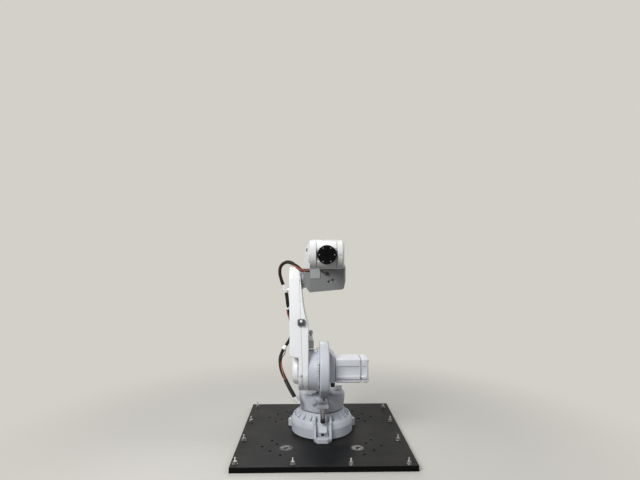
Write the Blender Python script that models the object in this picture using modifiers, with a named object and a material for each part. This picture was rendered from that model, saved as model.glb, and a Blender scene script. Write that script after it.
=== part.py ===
# Six-axis industrial robot arm bolted to a square steel floor plate.
# Metres, +Z up. The arm faces -Y, and X points right when it is seen from the front.
# The origin is on the floor under the plate, on the axis of the turning column.
import math

import bmesh
import bpy
from mathutils import Matrix, Vector

# Driving sizes of the kinematic chain, measured from the top of the plate.
SHOULDER_FORWARD = 0.150
SHOULDER_HEIGHT = 0.468
LOWER_ARM_LENGTH = 0.630
ELBOW_RISE = 0.174
FOREARM_LENGTH = 0.795
WRIST_TO_FACE = 0.085

# Gaps: between pieces that touch, and at a turning joint.
SEAT_GAP = 0.0003
JOINT_SEAM = 0.0006
OVERRUN = 0.004
FINE_EDGE = 0.002

# Floor plate.
PLATE_SIDE = 1.150
PLATE_THICKNESS = 0.035
PLATE_SETBACK = 0.020

# Base casting.
BASE_HEIGHT = 0.160
BASE_NECK_RADIUS = 0.163
BASE_RIM_RADIUS = 0.2245
BASE_RIM_HEIGHT = 0.072
BASE_FOOT_RADIUS = 0.222
BASE_SPIGOT_RADIUS = 0.206
BASE_SPIGOT_HEIGHT = 0.008
BASE_WEB_COUNT = 20
BASE_WEB_THICKNESS = 0.007
DOME_STEPS = 6
# Shares of the way from the neck's top edge out and down to the rim: (out, up).
POCKET_FLOOR_SHARES = ((0.05, 0.77), (0.18, 0.57), (0.55, 0.39))
CREST_SHARES = ((0.62, 0.53), (0.68, 0.53), (0.83, 0.36), (0.94, 0.19))
WEB_SHARES = ((-0.11, 0.30), (-0.11, 0.87), (0.03, 0.86), (0.33, 0.68), (0.65, 0.52), (0.65, 0.30))

FRONT_FOOT_REACH = 0.273
FRONT_FOOT_WIDTH = 0.120
FRONT_TOE_WIDTH = 0.064
FRONT_TOE_LENGTH = 0.034
FRONT_PAD_HEIGHT = 0.030
FRONT_CHEEK_THICKNESS = 0.015
FRONT_CHEEK_TOP = 0.118
FRONT_SLOT_SIZE = (0.020, 0.022)
FRONT_SLOT_DEPTH = 0.016
SIDE_FOOT_REACH = 0.2555
SIDE_FOOT_WIDTH = 0.056
SIDE_FOOT_HEIGHT = 0.053
SIDE_FOOT_ANGLE = math.radians(20)

CABLE_BOX_WIDTH = 0.230
CABLE_BOX_REACH = 0.395
CABLE_BOX_HEIGHT = 0.112
CABLE_BOX_FLOOR = 0.010
PANEL_THICKNESS = 0.006
PANEL_MARGIN = 0.012
SOCKET_RADIUS = 0.020
SOCKET_LENGTH = 0.018

# Turning column.
DRUM_TOP = 0.284
DRUM_RADIUS = 0.168
DRUM_WAIST_RADIUS = 0.159
DRUM_ROUNDING = 0.018
DRUM_BAND = 0.029
DRUM_TAPER = 0.056
FRAME_LEFT = -0.021
FRAME_RIGHT = 0.045
FRAME_RADIUS = 0.198
FRAME_FOOT_PROUD = 0.009
FRAME_ROUNDING = 0.012
FRAME_EDGE = 0.006
SADDLE_FRONT = -0.130
SADDLE_BACK = 0.060
SADDLE_RISE = 0.032
SADDLE_REACH = 0.094
SADDLE_SLOPE_SHARES = ((0.8, 0.2), (0.5, 0.5))
FRONT_BOSS_RADIUS = 0.021
FRONT_BOSS_X = -0.060
FRONT_BOSS_Z = 0.247
STOP_PIN_RADIUS = 0.016
STOP_PIN_Y = -0.238
STOP_PIN_END = 0.127
STOP_TIP_LENGTH = 0.032
STOP_TIP_EXTRA = 0.001
STOP_LUG_BOTTOM = 0.229
STOP_LUG_THICKNESS = 0.021
STOP_LUG_WIDTH = 0.080
STOP_LUG_NOSE = 0.024
LUG_SLOT_SIZE = (0.009, 0.024)
LUG_SLOT_DEPTH = 0.014
LUG_SLOT_X = 0.011

COLUMN_MOTOR_SIDE = 0.120
COLUMN_MOTOR_Y = 0.150
COLUMN_MOTOR_X = 0.006
COLUMN_MOTOR_HEIGHT = 0.180
MOTOR_SHELF_THICKNESS = 0.048
MOTOR_SHELF_MARGIN = 0.012

REDUCER_RADIUS = 0.140
REDUCER_RIM_RADIUS = 0.150
REDUCER_RIM_THICKNESS = 0.015
REDUCER_BODY_THICKNESS = 0.061

ARM_MOTOR_BLOCK = 0.164
ARM_MOTOR_Z = 0.476
ARM_MOTOR_FLANGE_THICKNESS = 0.041
ARM_MOTOR_FLANGE_TOP = 0.611
ARM_MOTOR_FLANGE_STEP = 0.038
ARM_MOTOR_BODY_LENGTH = 0.180
ARM_MOTOR_CAP_LENGTH = 0.050
ARM_MOTOR_EDGE = 0.010
MOTOR_RECESS_DEPTH = 0.009
MOTOR_RECESS_BOTTOM = 0.438
MOTOR_RECESS_TOP = 0.510
MOTOR_RECESS_LEFT = 0.095
MOTOR_RECESS_RIGHT = 0.260
CAP_RECESS_RIGHT = 0.304
MOTOR_GROOVE_BOTTOM = 0.409
MOTOR_GROOVE_HEIGHT = 0.010
MOTOR_PLUG_RADIUS = 0.015
MOTOR_PLUG_LENGTH = 0.032

COLUMN_PLUG_SIZE = (0.048, 0.050, 0.020)
COLUMN_PLUG_X = 0.122

GLAND_RADIUS = 0.019
GLAND_LENGTH = 0.036

# Lower arm.
HUB_RADIUS = 0.140
HUB_THICKNESS = 0.068
ARM_TOP_RADIUS = 0.090
ARM_OUTER_LOW_X = -0.226
ARM_OUTER_TOP_X = -0.233
ARM_OUTER_START = 0.108
ARM_INNER_TOP_X = -0.158
ARM_NECK_Z = 0.310
ARM_NARROW_Z = 0.405
ARM_NARROW_X = -0.124
ARM_SLIM_Z = 0.485
ARM_SLIM_X = -0.137
ARM_EDGE = 0.010
ARM_SEAM_WIDTH = 0.005
ARM_SEAM_DEPTH = 0.003
ARM_SEAM_X = -0.137
ARM_SEAM_LEAN = math.radians(2)
ARM_LEAN = math.asin((HUB_RADIUS - ARM_TOP_RADIUS) / LOWER_ARM_LENGTH)
HUB_CAP_RADIUS = 0.097
HUB_CAP_THICKNESS = 0.046
HUB_CAP_RIM = 0.012
HUB_CAP_FACE_RADIUS = 0.066
ELBOW_BOSS_RADIUS = 0.062
ELBOW_BOSS_END_X = -0.1343
ELBOW_SPIGOT_RADIUS = 0.054
ELBOW_SPIGOT_END_X = -0.118
LAMP_SIZE = (0.050, 0.022, 0.045)
LAMP_X = -0.148
LAMP_Z = 0.347
LAMP_LENS_RADIUS = 0.010
LAMP_LENS_THICKNESS = 0.003
BUFFER_BLOCK_SIZE = (0.036, 0.080, 0.047)
BUFFER_BLOCK_Z = 0.1775
STOP_BRACKET_SIZE = (0.030, 0.046, 0.0354)
STOP_BUFFER_RADIUS = 0.015
STOP_BUFFER_LENGTH = 0.040

# Elbow and forearm.
ELBOW_LEFT = -0.134
ELBOW_RIGHT = 0.159
ELBOW_FRONT = -0.120
ELBOW_BACK = 0.115
ELBOW_SEAM_RISE = 0.081
ELBOW_BOTTOM_LEFT = -0.078
ELBOW_BOTTOM_RIGHT = -0.057
ELBOW_STEP_X = -0.090
ELBOW_STEP_TOP = 0.060
ELBOW_CORNER = 0.034
ELBOW_CHAMFER_HEIGHT = 0.065
ELBOW_CHAMFER_WIDTH = 0.031
ELBOW_CHAMFER_FOOT = 0.014
ELBOW_SIDE_CORNER = 0.045
ELBOW_HOLE_RADIUS = 0.008
ELBOW_HOLE_DEPTH = 0.012
ELBOW_HOLE_PLACES = ((0.068, 0.006), (0.040, -0.005))
HOUSING_LEFT = -0.079
HOUSING_RIGHT = 0.149
HOUSING_TOP = 0.283
HOUSING_BACK = 0.125
HOUSING_CORNER = 0.030
HOUSING_EDGE = 0.008
HOUSING_FLARE = 0.010
HOUSING_FLARE_BOTTOM = 0.022
HOUSING_FLARE_TOP = 0.032
COVER_LEFT = -0.129
COVER_TOP_LEFT = -0.119
COVER_BOTTOM = 0.085
COVER_SETBACK = 0.030
COVER_BACK = 0.080
COLLAR_RADIUS = 0.083
COLLAR_THICKNESS = 0.026
WRIST_MOTOR_SIDE = 0.070
WRIST_MOTOR_LENGTH = 0.075
WRIST_MOTOR_GAP = 0.008
JUNCTION_SIZE = (0.068, 0.004, 0.073)
JUNCTION_X = -0.0525
JUNCTION_Z = 0.0535
CONNECTOR_RADIUS = 0.013
CONNECTOR_LENGTH = 0.016
CONNECTOR_X = 0.026
CONNECTOR_Z = 0.052
KNOB_RADIUS = 0.009
KNOB_LENGTH = 0.020
KNOB_X = -0.008
KNOB_Z = 0.070

TUBE_ROOT_RADIUS = 0.079
TUBE_FRONT_RADIUS = 0.070
TUBE_ROOT_LENGTH = 0.070
FORK_DEPTH = 0.095
FORK_GAP = 0.110
FORK_ROOT_WIDTH = 0.100
CHEEK_THICKNESS = {"left": 0.035, "right": 0.029}
CHEEK_RADIUS = 0.075
CHEEK_ROOT_HEIGHT = 0.096
CHEEK_CAP_RADIUS = 0.044
CHEEK_CAP_THICKNESS = 0.004
WRIST_RADIUS = 0.074
WRIST_SIDE_GAP = 0.0015
WRIST_JOURNAL_RADIUS = 0.040
WRIST_NECK_RADIUS = 0.043
FLANGE_RADIUS = 0.050
FLANGE_THICKNESS = 0.018

# Dress pack: a sleeve that carries the cables and a thinner air hose beside it.
SLEEVE_DIAMETER = 0.024
TAIL_DIAMETER = 0.0206
HOSE_POINT_SPACING = 0.038
CLAMP_LENGTH = 0.016
CLAMP_WALL = 0.004
CLAMP_CLEARANCE = 0.0007
CLAMP_FOOT_WIDTH = 0.026
CLAMP_FOOT_HEIGHT = 0.012
UPPER_CLAMP_POINT = 2
REAR_CLAMP_POINT = 9
ROUND_STEPS = 48
SMALL_STEPS = 24

# Route of the sleeve: lower points from the shoulder axis, upper ones and the tail from the elbow axis.
LOWER_ROUTE = (
    (-0.196, 0.000, -0.189), (-0.226, 0.000, -0.138), (-0.260, 0.012, -0.076), (-0.286, 0.028, -0.022),
    (-0.301, 0.050, 0.022), (-0.302, 0.076, 0.062), (-0.290, 0.104, 0.104), (-0.266, 0.134, 0.144),
    (-0.240, 0.156, 0.184), (-0.224, 0.166, 0.232), (-0.222, 0.166, 0.282), (-0.232, 0.154, 0.332),
    (-0.246, 0.126, 0.382),
)
UPPER_ROUTE = (
    (-0.251, 0.094, -0.193), (-0.254, 0.066, -0.138), (-0.261, 0.042, -0.088), (-0.274, 0.024, -0.048),
    (-0.291, 0.008, -0.006), (-0.302, -0.008, 0.036), (-0.303, -0.022, 0.072), (-0.294, -0.034, 0.102),
    (-0.273, -0.046, 0.122), (-0.246, -0.056, 0.130), (-0.218, -0.064, 0.123), (-0.190, -0.071, 0.107),
    (-0.168, -0.076, 0.089), (-0.151, -0.078, 0.075), (-0.142, -0.078, 0.0735),
)
TAIL_ROUTE = (
    (-0.1397, -0.078, 0.0732), (-0.125, -0.078, 0.0730), (-0.108, -0.080, 0.0728), (-0.0905, -0.080, 0.0728),
)


def clear_scene():
    for item in list(bpy.data.objects):
        bpy.data.objects.remove(item, do_unlink=True)


def paint(name, colour, roughness, metallic=0.0):
    material = bpy.data.materials.new(name)
    material.use_nodes = True
    shader = material.node_tree.nodes["Principled BSDF"]
    shader.inputs["Base Color"].default_value = (*colour, 1.0)
    shader.inputs["Roughness"].default_value = roughness
    shader.inputs["Metallic"].default_value = metallic
    return material


def collection(name):
    group = bpy.data.collections.new(name)
    bpy.context.scene.collection.children.link(group)
    return group


clear_scene()
ROBOT = collection("industrial_robot_arm")
CUTTERS = collection("cutters")

WHITE = paint("casting_paint", (0.80, 0.82, 0.84), 0.38)
GREY = paint("housing_paint", (0.42, 0.43, 0.43), 0.48)
DARK_STEEL = paint("plate_steel", (0.05, 0.05, 0.055), 0.45, 0.6)
BRIGHT_STEEL = paint("pin_steel", (0.55, 0.55, 0.56), 0.30, 1.0)
BLACK = paint("black_plastic", (0.02, 0.02, 0.02), 0.5)
RUBBER = paint("buffer_rubber", (0.16, 0.16, 0.16), 0.8)
SLEEVE = paint("hose_sleeve", (0.03, 0.03, 0.03), 0.7)
LENS = paint("lamp_lens", (0.9, 0.9, 0.88), 0.2)


def pivot(name, parent, at):
    """An empty on a joint's axis that carries what turns about it."""
    empty = bpy.data.objects.new(name, None)
    ROBOT.objects.link(empty)
    empty.parent = parent
    empty.location = at
    return empty


def add_piece(name, mesh, parent, at, material, turn=(0, 0, 0)):
    piece = bpy.data.objects.new(name, mesh)
    ROBOT.objects.link(piece)
    piece.parent = parent
    piece.location = at
    piece.rotation_euler = turn
    mesh.materials.clear()
    mesh.materials.append(material)
    return piece


def soften(piece, width, segments=2):
    bevel = piece.modifiers.new("edge", "BEVEL")
    bevel.width = width
    bevel.segments = segments
    bevel.limit_method = "ANGLE"
    bevel.angle_limit = math.radians(40)
    return piece


def combine(piece, other, operation):
    """Add a Boolean modifier and put its second shape among the cutters."""
    step = piece.modifiers.new(operation.lower(), "BOOLEAN")
    step.object = other
    step.operation = operation
    step.solver = "EXACT"
    for group in list(other.users_collection):
        group.objects.unlink(other)
    CUTTERS.objects.link(other)
    other.hide_render = True
    other.display_type = "WIRE"
    return piece


def shade(piece, angle=35):
    if piece.type == "MESH":
        piece.data.shade_smooth()
        piece.data.set_sharp_from_angle(angle=math.radians(angle))
    return piece


def block(name, size, parent, centre, material, edge=FINE_EDGE):
    """A box of real size with softened edges."""
    mesh = bpy.data.meshes.new(name)
    grid = bmesh.new()
    bmesh.ops.create_cube(grid, size=1, matrix=Matrix.Diagonal((*size, 1)))
    grid.to_mesh(mesh)
    grid.free()
    piece = add_piece(name, mesh, parent, centre, material)
    return soften(piece, edge) if edge else piece


TURN_TO = {"Z": (0, 0, 0), "X": (0, math.pi / 2, 0), "-X": (0, -math.pi / 2, 0), "-Y": (math.pi / 2, 0, 0)}


def turned(name, profile, parent, at, material, axis="Z", steps=ROUND_STEPS):
    """A turned piece: (radius, height) points from its top to its bottom, spun about an axis."""
    mesh = bpy.data.meshes.new(name)
    points = [(radius, 0, height) for radius, height in profile]
    mesh.from_pydata(points, [(i, i + 1) for i in range(len(points) - 1)], [])
    piece = add_piece(name, mesh, parent, at, material, TURN_TO[axis])
    screw = piece.modifiers.new("turn", "SCREW")
    screw.axis = "Z"
    screw.steps = steps
    screw.render_steps = steps
    screw.use_merge_vertices = True
    screw.merge_threshold = 0.00001
    screw.use_smooth_shade = True
    return piece


def rounded(points, steps=4):
    """Replace each corner (x, y, radius) of an outline by an arc; (x, y) corners stay sharp."""
    outline = []
    count = len(points)
    for index, corner in enumerate(points):
        here = Vector(corner[:2])
        radius = corner[2] if len(corner) > 2 else 0
        if not radius:
            outline.append(here)
            continue
        before = (Vector(points[index - 1][:2]) - here).normalized()
        after = (Vector(points[(index + 1) % count][:2]) - here).normalized()
        half = before.angle(after) / 2
        start = here + before * (radius / math.tan(half))
        finish = here + after * (radius / math.tan(half))
        centre = here + (before + after).normalized() * (radius / math.sin(half))
        first = start - centre
        sweep = first.angle_signed(finish - centre)
        for step in range(steps + 1):
            spoke = first.copy()
            spoke.rotate(Matrix.Rotation(-sweep * step / steps, 2))
            outline.append(centre + spoke)
    return outline


def arc(centre, radius, start, finish, steps):
    """Points along an arc, angles in degrees from the first axis of the outline."""
    angles = [math.radians(start + (finish - start) * step / steps) for step in range(steps + 1)]
    return [(centre[0] + radius * math.cos(a), centre[1] + radius * math.sin(a)) for a in angles]


OUTLINE_PLANES = {
    "XY": Matrix(((1, 0, 0), (0, 1, 0), (0, 0, 1))),
    "XZ": Matrix(((1, 0, 0), (0, 0, -1), (0, 1, 0))),
    "YZ": Matrix(((0, 0, 1), (1, 0, 0), (0, 1, 0))),
}


def slab(name, outline, thickness, plane, parent, at, material, edge=0.0):
    """A flat outline in one plane, made solid to both sides of that plane."""
    curve = bpy.data.curves.new(name + "_outline", "CURVE")
    curve.dimensions = "2D"
    curve.fill_mode = "BOTH"
    curve.extrude = thickness / 2
    spline = curve.splines.new("POLY")
    spline.points.add(len(outline) - 1)
    for point, place in zip(spline.points, outline):
        point.co = (place[0], place[1], 0, 1)
    spline.use_cyclic_u = True
    guide = bpy.data.objects.new(name + "_guide", curve)
    CUTTERS.objects.link(guide)
    depsgraph = bpy.context.evaluated_depsgraph_get()
    mesh = bpy.data.meshes.new_from_object(guide.evaluated_get(depsgraph))
    bpy.data.objects.remove(guide, do_unlink=True)
    grid = bmesh.new()
    grid.from_mesh(mesh)
    bmesh.ops.remove_doubles(grid, verts=grid.verts, dist=0.00001)
    bmesh.ops.transform(grid, matrix=OUTLINE_PLANES[plane].to_4x4(), verts=grid.verts)
    bmesh.ops.recalc_face_normals(grid, faces=grid.faces)
    bmesh.ops.dissolve_limit(grid, angle_limit=0.001, verts=grid.verts, edges=grid.edges)
    grid.to_mesh(mesh)
    grid.free()
    mesh.name = name
    piece = add_piece(name, mesh, parent, at, material)
    return soften(piece, edge) if edge else piece


def smooth_route(points, spacing):
    """Points a given distance apart on one smooth curve through a route's own points."""
    ends = [2 * Vector(points[0]) - Vector(points[1])]
    ends += [Vector(p) for p in points] + [2 * Vector(points[-1]) - Vector(points[-2])]
    route = []
    for index in range(1, len(ends) - 2):
        a, b, c, d = ends[index - 1:index + 3]
        steps = max(1, round((c - b).length / spacing))
        for step in range(steps):
            t = step / steps
            route.append(0.5 * (2 * b + (c - a) * t + (2 * a - 5 * b + 4 * c - d) * t ** 2
                                + (3 * b - a - 3 * c + d) * t ** 3))
    return route + [ends[-2]]


def hose(name, points, diameter, parent, material):
    """A round flexible tube along a route, with closed ends."""
    curve = bpy.data.curves.new(name, "CURVE")
    curve.dimensions = "3D"
    curve.bevel_depth = diameter / 2
    curve.bevel_resolution = 2
    curve.use_fill_caps = True
    route = smooth_route(points, HOSE_POINT_SPACING)
    spline = curve.splines.new("POLY")
    spline.points.add(len(route) - 1)
    for point, place in zip(spline.points, route):
        point.co = (*place, 1)
    curve.materials.append(material)
    piece = bpy.data.objects.new(name, curve)
    ROBOT.objects.link(piece)
    piece.parent = parent
    return piece


def disc_profile(radius, top, bottom, edge):
    """A plain disc with a chamfer at each end."""
    return [(0, top), (radius - edge, top), (radius, top - edge), (radius, bottom + edge),
            (radius - edge, bottom), (0, bottom)]


SHOULDER = (0, -SHOULDER_FORWARD, SHOULDER_HEIGHT)

# The chain of joint axes.
PLATE_TOP = pivot("plate_top", None, (0, 0, PLATE_THICKNESS + SEAT_GAP))
AXIS_1 = pivot("axis_1", PLATE_TOP, (0, 0, 0))
AXIS_2 = pivot("axis_2", AXIS_1, SHOULDER)
AXIS_3 = pivot("axis_3", AXIS_2, (0, 0, LOWER_ARM_LENGTH))
AXIS_4 = pivot("axis_4", AXIS_3, (0, 0, ELBOW_RISE))
AXIS_5 = pivot("axis_5", AXIS_4, (0, -FOREARM_LENGTH, 0))
AXIS_6 = pivot("axis_6", AXIS_5, (0, 0, 0))


def base_plate():
    centre = (0, -PLATE_SETBACK, PLATE_THICKNESS / 2)
    shade(block("base_plate", (PLATE_SIDE, PLATE_SIDE, PLATE_THICKNESS), None, centre, DARK_STEEL))


def shoulder_points(shares):
    """(radius, height) points on the base's shoulder, from their shares of the way out and up."""
    wide = BASE_RIM_RADIUS - BASE_NECK_RADIUS
    high = BASE_HEIGHT - BASE_RIM_HEIGHT
    return [(BASE_NECK_RADIUS + wide * out, BASE_RIM_HEIGHT + high * up) for out, up in shares]


def foot_slab(name, reach, width, toe_width, toe_length, height, turn):
    """A foot: a pad with a narrower toe, reaching out from under the rim."""
    root = BASE_SPIGOT_RADIUS - BASE_RIM_RADIUS / 4
    outline = [(root, -width / 2), (reach - toe_length, -width / 2), (reach, -toe_width / 2),
               (reach, toe_width / 2), (reach - toe_length, width / 2), (root, width / 2)]
    foot = slab(name, outline, height, "XY", PLATE_TOP, (0, 0, height / 2), WHITE, FINE_EDGE)
    foot.rotation_euler = (0, 0, turn)
    return foot


def front_cheek(name, side):
    """One of the two upright webs beside the bolt pocket of the front foot."""
    reach = FRONT_FOOT_REACH - FRONT_TOE_LENGTH / 2
    root = shoulder_points(CREST_SHARES)[0][0] - FRONT_CHEEK_THICKNESS
    top = FRONT_CHEEK_TOP
    outline = [(-root, FRONT_PAD_HEIGHT / 2), (-reach, FRONT_PAD_HEIGHT / 2), (-reach, FRONT_PAD_HEIGHT),
               (-BASE_RIM_RADIUS - FINE_EDGE, top), (-root, top)]
    x = side * (FRONT_FOOT_WIDTH - FRONT_CHEEK_THICKNESS) / 2
    return slab(name, outline, FRONT_CHEEK_THICKNESS, "YZ", PLATE_TOP, (x, 0, 0), WHITE)


def base_webs():
    """The thin radial webs that part the pockets round the base's shoulder, in one mesh."""
    grid = bmesh.new()
    half = BASE_WEB_THICKNESS / 2
    shape = shoulder_points(WEB_SHARES)
    for index in range(BASE_WEB_COUNT):
        angle = 2 * math.pi * (index + 0.5) / BASE_WEB_COUNT
        turn = Matrix.Rotation(angle, 4, "Z")
        ring = [grid.verts.new(turn @ Vector((radius, -half, height))) for radius, height in shape]
        sweep = bmesh.ops.extrude_face_region(grid, geom=[grid.faces.new(ring)])
        moved = [item for item in sweep["geom"] if isinstance(item, bmesh.types.BMVert)]
        bmesh.ops.translate(grid, verts=moved, vec=turn @ Vector((0, 2 * half, 0)))
    bmesh.ops.recalc_face_normals(grid, faces=grid.faces)
    mesh = bpy.data.meshes.new("base_webs")
    grid.to_mesh(mesh)
    grid.free()
    return add_piece("base_webs", mesh, PLATE_TOP, (0, 0, 0), WHITE)


def base_casting():
    """The round iron base: neck, pocketed shoulder with webs, rim, three feet and the cable box behind."""
    profile = [(0, BASE_HEIGHT), (BASE_NECK_RADIUS, BASE_HEIGHT), *shoulder_points(POCKET_FLOOR_SHARES),
               *shoulder_points(CREST_SHARES), (BASE_RIM_RADIUS, BASE_RIM_HEIGHT),
               (BASE_FOOT_RADIUS, BASE_SPIGOT_HEIGHT),
               (BASE_SPIGOT_RADIUS, BASE_SPIGOT_HEIGHT),
               (BASE_SPIGOT_RADIUS, 0), (0, 0)]
    body = turned("base_casting", profile, PLATE_TOP, (0, 0, 0), WHITE)
    combine(body, base_webs(), "UNION")
    combine(body, foot_slab("front_foot", FRONT_FOOT_REACH, FRONT_FOOT_WIDTH, FRONT_TOE_WIDTH,
                            FRONT_TOE_LENGTH, FRONT_PAD_HEIGHT, -math.pi / 2), "UNION")
    for side in (-1, 1):
        combine(body, front_cheek(f"front_cheek_{side}", side), "UNION")
    for name, turn in (("right_foot", SIDE_FOOT_ANGLE), ("left_foot", math.pi - SIDE_FOOT_ANGLE)):
        combine(body, foot_slab(name, SIDE_FOOT_REACH, SIDE_FOOT_WIDTH, SIDE_FOOT_WIDTH,
                                FINE_EDGE, SIDE_FOOT_HEIGHT, turn), "UNION")
    width, height = FRONT_SLOT_SIZE
    slot_z = FRONT_PAD_HEIGHT + FINE_EDGE / 2 + height / 2
    combine(body, block("front_slot", (width, 2 * FRONT_SLOT_DEPTH, height), PLATE_TOP,
                        (0, -BASE_FOOT_RADIUS, slot_z), WHITE, 0), "DIFFERENCE")
    root = BASE_NECK_RADIUS - BASE_NECK_RADIUS / 6
    size = (CABLE_BOX_WIDTH, CABLE_BOX_REACH - root, CABLE_BOX_HEIGHT - CABLE_BOX_FLOOR)
    centre = (0, (CABLE_BOX_REACH + root) / 2, (CABLE_BOX_HEIGHT + CABLE_BOX_FLOOR) / 2)
    combine(body, block("cable_box", size, PLATE_TOP, centre, WHITE), "UNION")


def connector_panel():
    """The plate on the back of the cable box, with the sockets for the supply leads."""
    size = (CABLE_BOX_WIDTH - 2 * PANEL_MARGIN, PANEL_THICKNESS,
            CABLE_BOX_HEIGHT - CABLE_BOX_FLOOR - 2 * PANEL_MARGIN)
    z = (CABLE_BOX_HEIGHT + CABLE_BOX_FLOOR) / 2
    y = CABLE_BOX_REACH + SEAT_GAP + PANEL_THICKNESS / 2
    panel = block("connector_panel", size, PLATE_TOP, (0, y, z), BRIGHT_STEEL, FINE_EDGE / 2)
    for index in (-1, 0, 1):
        socket = turned(f"socket_{index}", disc_profile(SOCKET_RADIUS, 0, -SOCKET_LENGTH, FINE_EDGE),
                        PLATE_TOP, (index * size[0] / 3, y, z), BLACK, "-Y", SMALL_STEPS)
        combine(panel, socket, "UNION")


def frame_outline():
    """Side view of the upright frame: a disc about the shoulder axis on a tapered foot."""
    centre = (-SHOULDER_FORWARD, SHOULDER_HEIGHT)
    front = -DRUM_WAIST_RADIUS - FRAME_FOOT_PROUD
    bottom = STOP_LUG_BOTTOM - STOP_LUG_THICKNESS
    rear = DRUM_RADIUS / 2
    return (arc(centre, FRAME_RADIUS, -25, 218, 24)
            + [(front - FRAME_FOOT_PROUD, DRUM_TOP), (front, STOP_LUG_BOTTOM + STOP_LUG_THICKNESS),
               (front, bottom), (front + DRUM_WAIST_RADIUS / 2, bottom), (rear, bottom), (rear, DRUM_TOP)])


def saddle_outline():
    """Front view of the saddle that spreads the frame's foot over the drum."""
    rise = DRUM_TOP + SADDLE_RISE
    left = [(-SADDLE_REACH, DRUM_TOP - DRUM_ROUNDING)]
    left += [(-SADDLE_REACH * out, DRUM_TOP + SADDLE_RISE * up) for out, up in SADDLE_SLOPE_SHARES]
    right = [(-x, z) for x, z in reversed(left)]
    return left + [(FRAME_LEFT, rise), (FRAME_RIGHT, rise + SADDLE_RISE)] + right


def turret_casting():
    """The turning column: drum, upright frame, saddle, motor shelf, stop lug and front boss."""
    bottom = BASE_HEIGHT + SEAT_GAP
    band = DRUM_TOP - DRUM_ROUNDING - DRUM_BAND
    profile = [(0, DRUM_TOP), (DRUM_RADIUS - DRUM_ROUNDING, DRUM_TOP),
               (DRUM_RADIUS - DRUM_ROUNDING / 3, DRUM_TOP - DRUM_ROUNDING / 3),
               (DRUM_RADIUS, DRUM_TOP - DRUM_ROUNDING), (DRUM_RADIUS, band),
               (DRUM_WAIST_RADIUS, band - DRUM_TAPER),
               (DRUM_WAIST_RADIUS, bottom + DRUM_ROUNDING / 2),
               (DRUM_WAIST_RADIUS - DRUM_ROUNDING / 2, bottom), (0, bottom)]
    body = turned("turret_casting", profile, AXIS_1, (0, 0, 0), WHITE)
    middle = (FRAME_LEFT + FRAME_RIGHT) / 2
    combine(body, slab("frame", frame_outline(), FRAME_RIGHT - FRAME_LEFT, "YZ", AXIS_1,
                       (middle, 0, 0), WHITE, FRAME_ROUNDING), "UNION")
    combine(body, slab("saddle", saddle_outline(), SADDLE_BACK - SADDLE_FRONT, "XZ", AXIS_1,
                       (0, (SADDLE_BACK + SADDLE_FRONT) / 2, 0), WHITE), "UNION")
    shelf = COLUMN_MOTOR_SIDE + 2 * MOTOR_SHELF_MARGIN
    combine(body, block("motor_shelf", (shelf, shelf, MOTOR_SHELF_THICKNESS), AXIS_1,
                        (COLUMN_MOTOR_X, COLUMN_MOTOR_Y, DRUM_TOP - MOTOR_SHELF_THICKNESS / 2 + FINE_EDGE),
                        WHITE, FRAME_EDGE), "UNION")
    lug_front = STOP_PIN_Y - STOP_LUG_NOSE
    lug_depth = -DRUM_WAIST_RADIUS / 2 - lug_front
    combine(body, block("stop_lug", (STOP_LUG_WIDTH, lug_depth, STOP_LUG_THICKNESS), AXIS_1,
                        (0, lug_front + lug_depth / 2, STOP_LUG_BOTTOM + STOP_LUG_THICKNESS / 2),
                        WHITE), "UNION")
    slot_width, slot_height = LUG_SLOT_SIZE
    slot_z = STOP_LUG_BOTTOM + STOP_LUG_THICKNESS + FINE_EDGE + slot_height / 2
    combine(body, block("lug_slot", (slot_width, 2 * LUG_SLOT_DEPTH, slot_height), AXIS_1,
                        (LUG_SLOT_X, -DRUM_WAIST_RADIUS - FRAME_FOOT_PROUD, slot_z), WHITE, 0), "DIFFERENCE")
    boss_face = DRUM_RADIUS + FINE_EDGE
    boss = disc_profile(FRONT_BOSS_RADIUS, boss_face, DRUM_WAIST_RADIUS / 2, FINE_EDGE)
    combine(body, turned("front_boss", boss, AXIS_1, (FRONT_BOSS_X, 0, FRONT_BOSS_Z), WHITE, "-Y",
                         SMALL_STEPS), "UNION")


def stop_pin():
    """The steel pin under the lug and the black buffer on its end, which meet the base's stop."""
    top = STOP_LUG_BOTTOM - SEAT_GAP
    tip_top = STOP_PIN_END + STOP_TIP_LENGTH
    place = (0, STOP_PIN_Y, 0)
    turned("stop_pin", disc_profile(STOP_PIN_RADIUS, top, tip_top + SEAT_GAP, FINE_EDGE / 2),
           AXIS_1, place, BRIGHT_STEEL, "Z", SMALL_STEPS)
    radius = STOP_PIN_RADIUS + STOP_TIP_EXTRA
    turned("stop_pin_buffer", disc_profile(radius, tip_top, STOP_PIN_END, 2 * FINE_EDGE),
           AXIS_1, place, BLACK, "Z", SMALL_STEPS)


def column_motor():
    """The servo motor that turns the column, upright on the shelf behind the frame."""
    bottom = DRUM_TOP + FINE_EDGE + SEAT_GAP
    centre = (COLUMN_MOTOR_X, COLUMN_MOTOR_Y, bottom + COLUMN_MOTOR_HEIGHT / 2)
    shade(block("axis_1_motor", (COLUMN_MOTOR_SIDE, COLUMN_MOTOR_SIDE, COLUMN_MOTOR_HEIGHT),
                AXIS_1, centre, WHITE, ARM_MOTOR_EDGE))


def reducer():
    """The gear unit between the frame and the lower arm's hub."""
    back = FRAME_LEFT - SEAT_GAP
    rim = back - REDUCER_RIM_THICKNESS
    front = rim - REDUCER_BODY_THICKNESS
    profile = [(0, -front), (REDUCER_RADIUS - FINE_EDGE, -front), (REDUCER_RADIUS, -front - FINE_EDGE),
               (REDUCER_RADIUS, -rim), (REDUCER_RIM_RADIUS, -rim), (REDUCER_RIM_RADIUS, -back), (0, -back)]
    turned("reducer_housing", profile, AXIS_1, SHOULDER, WHITE, "-X")
    return front


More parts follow.
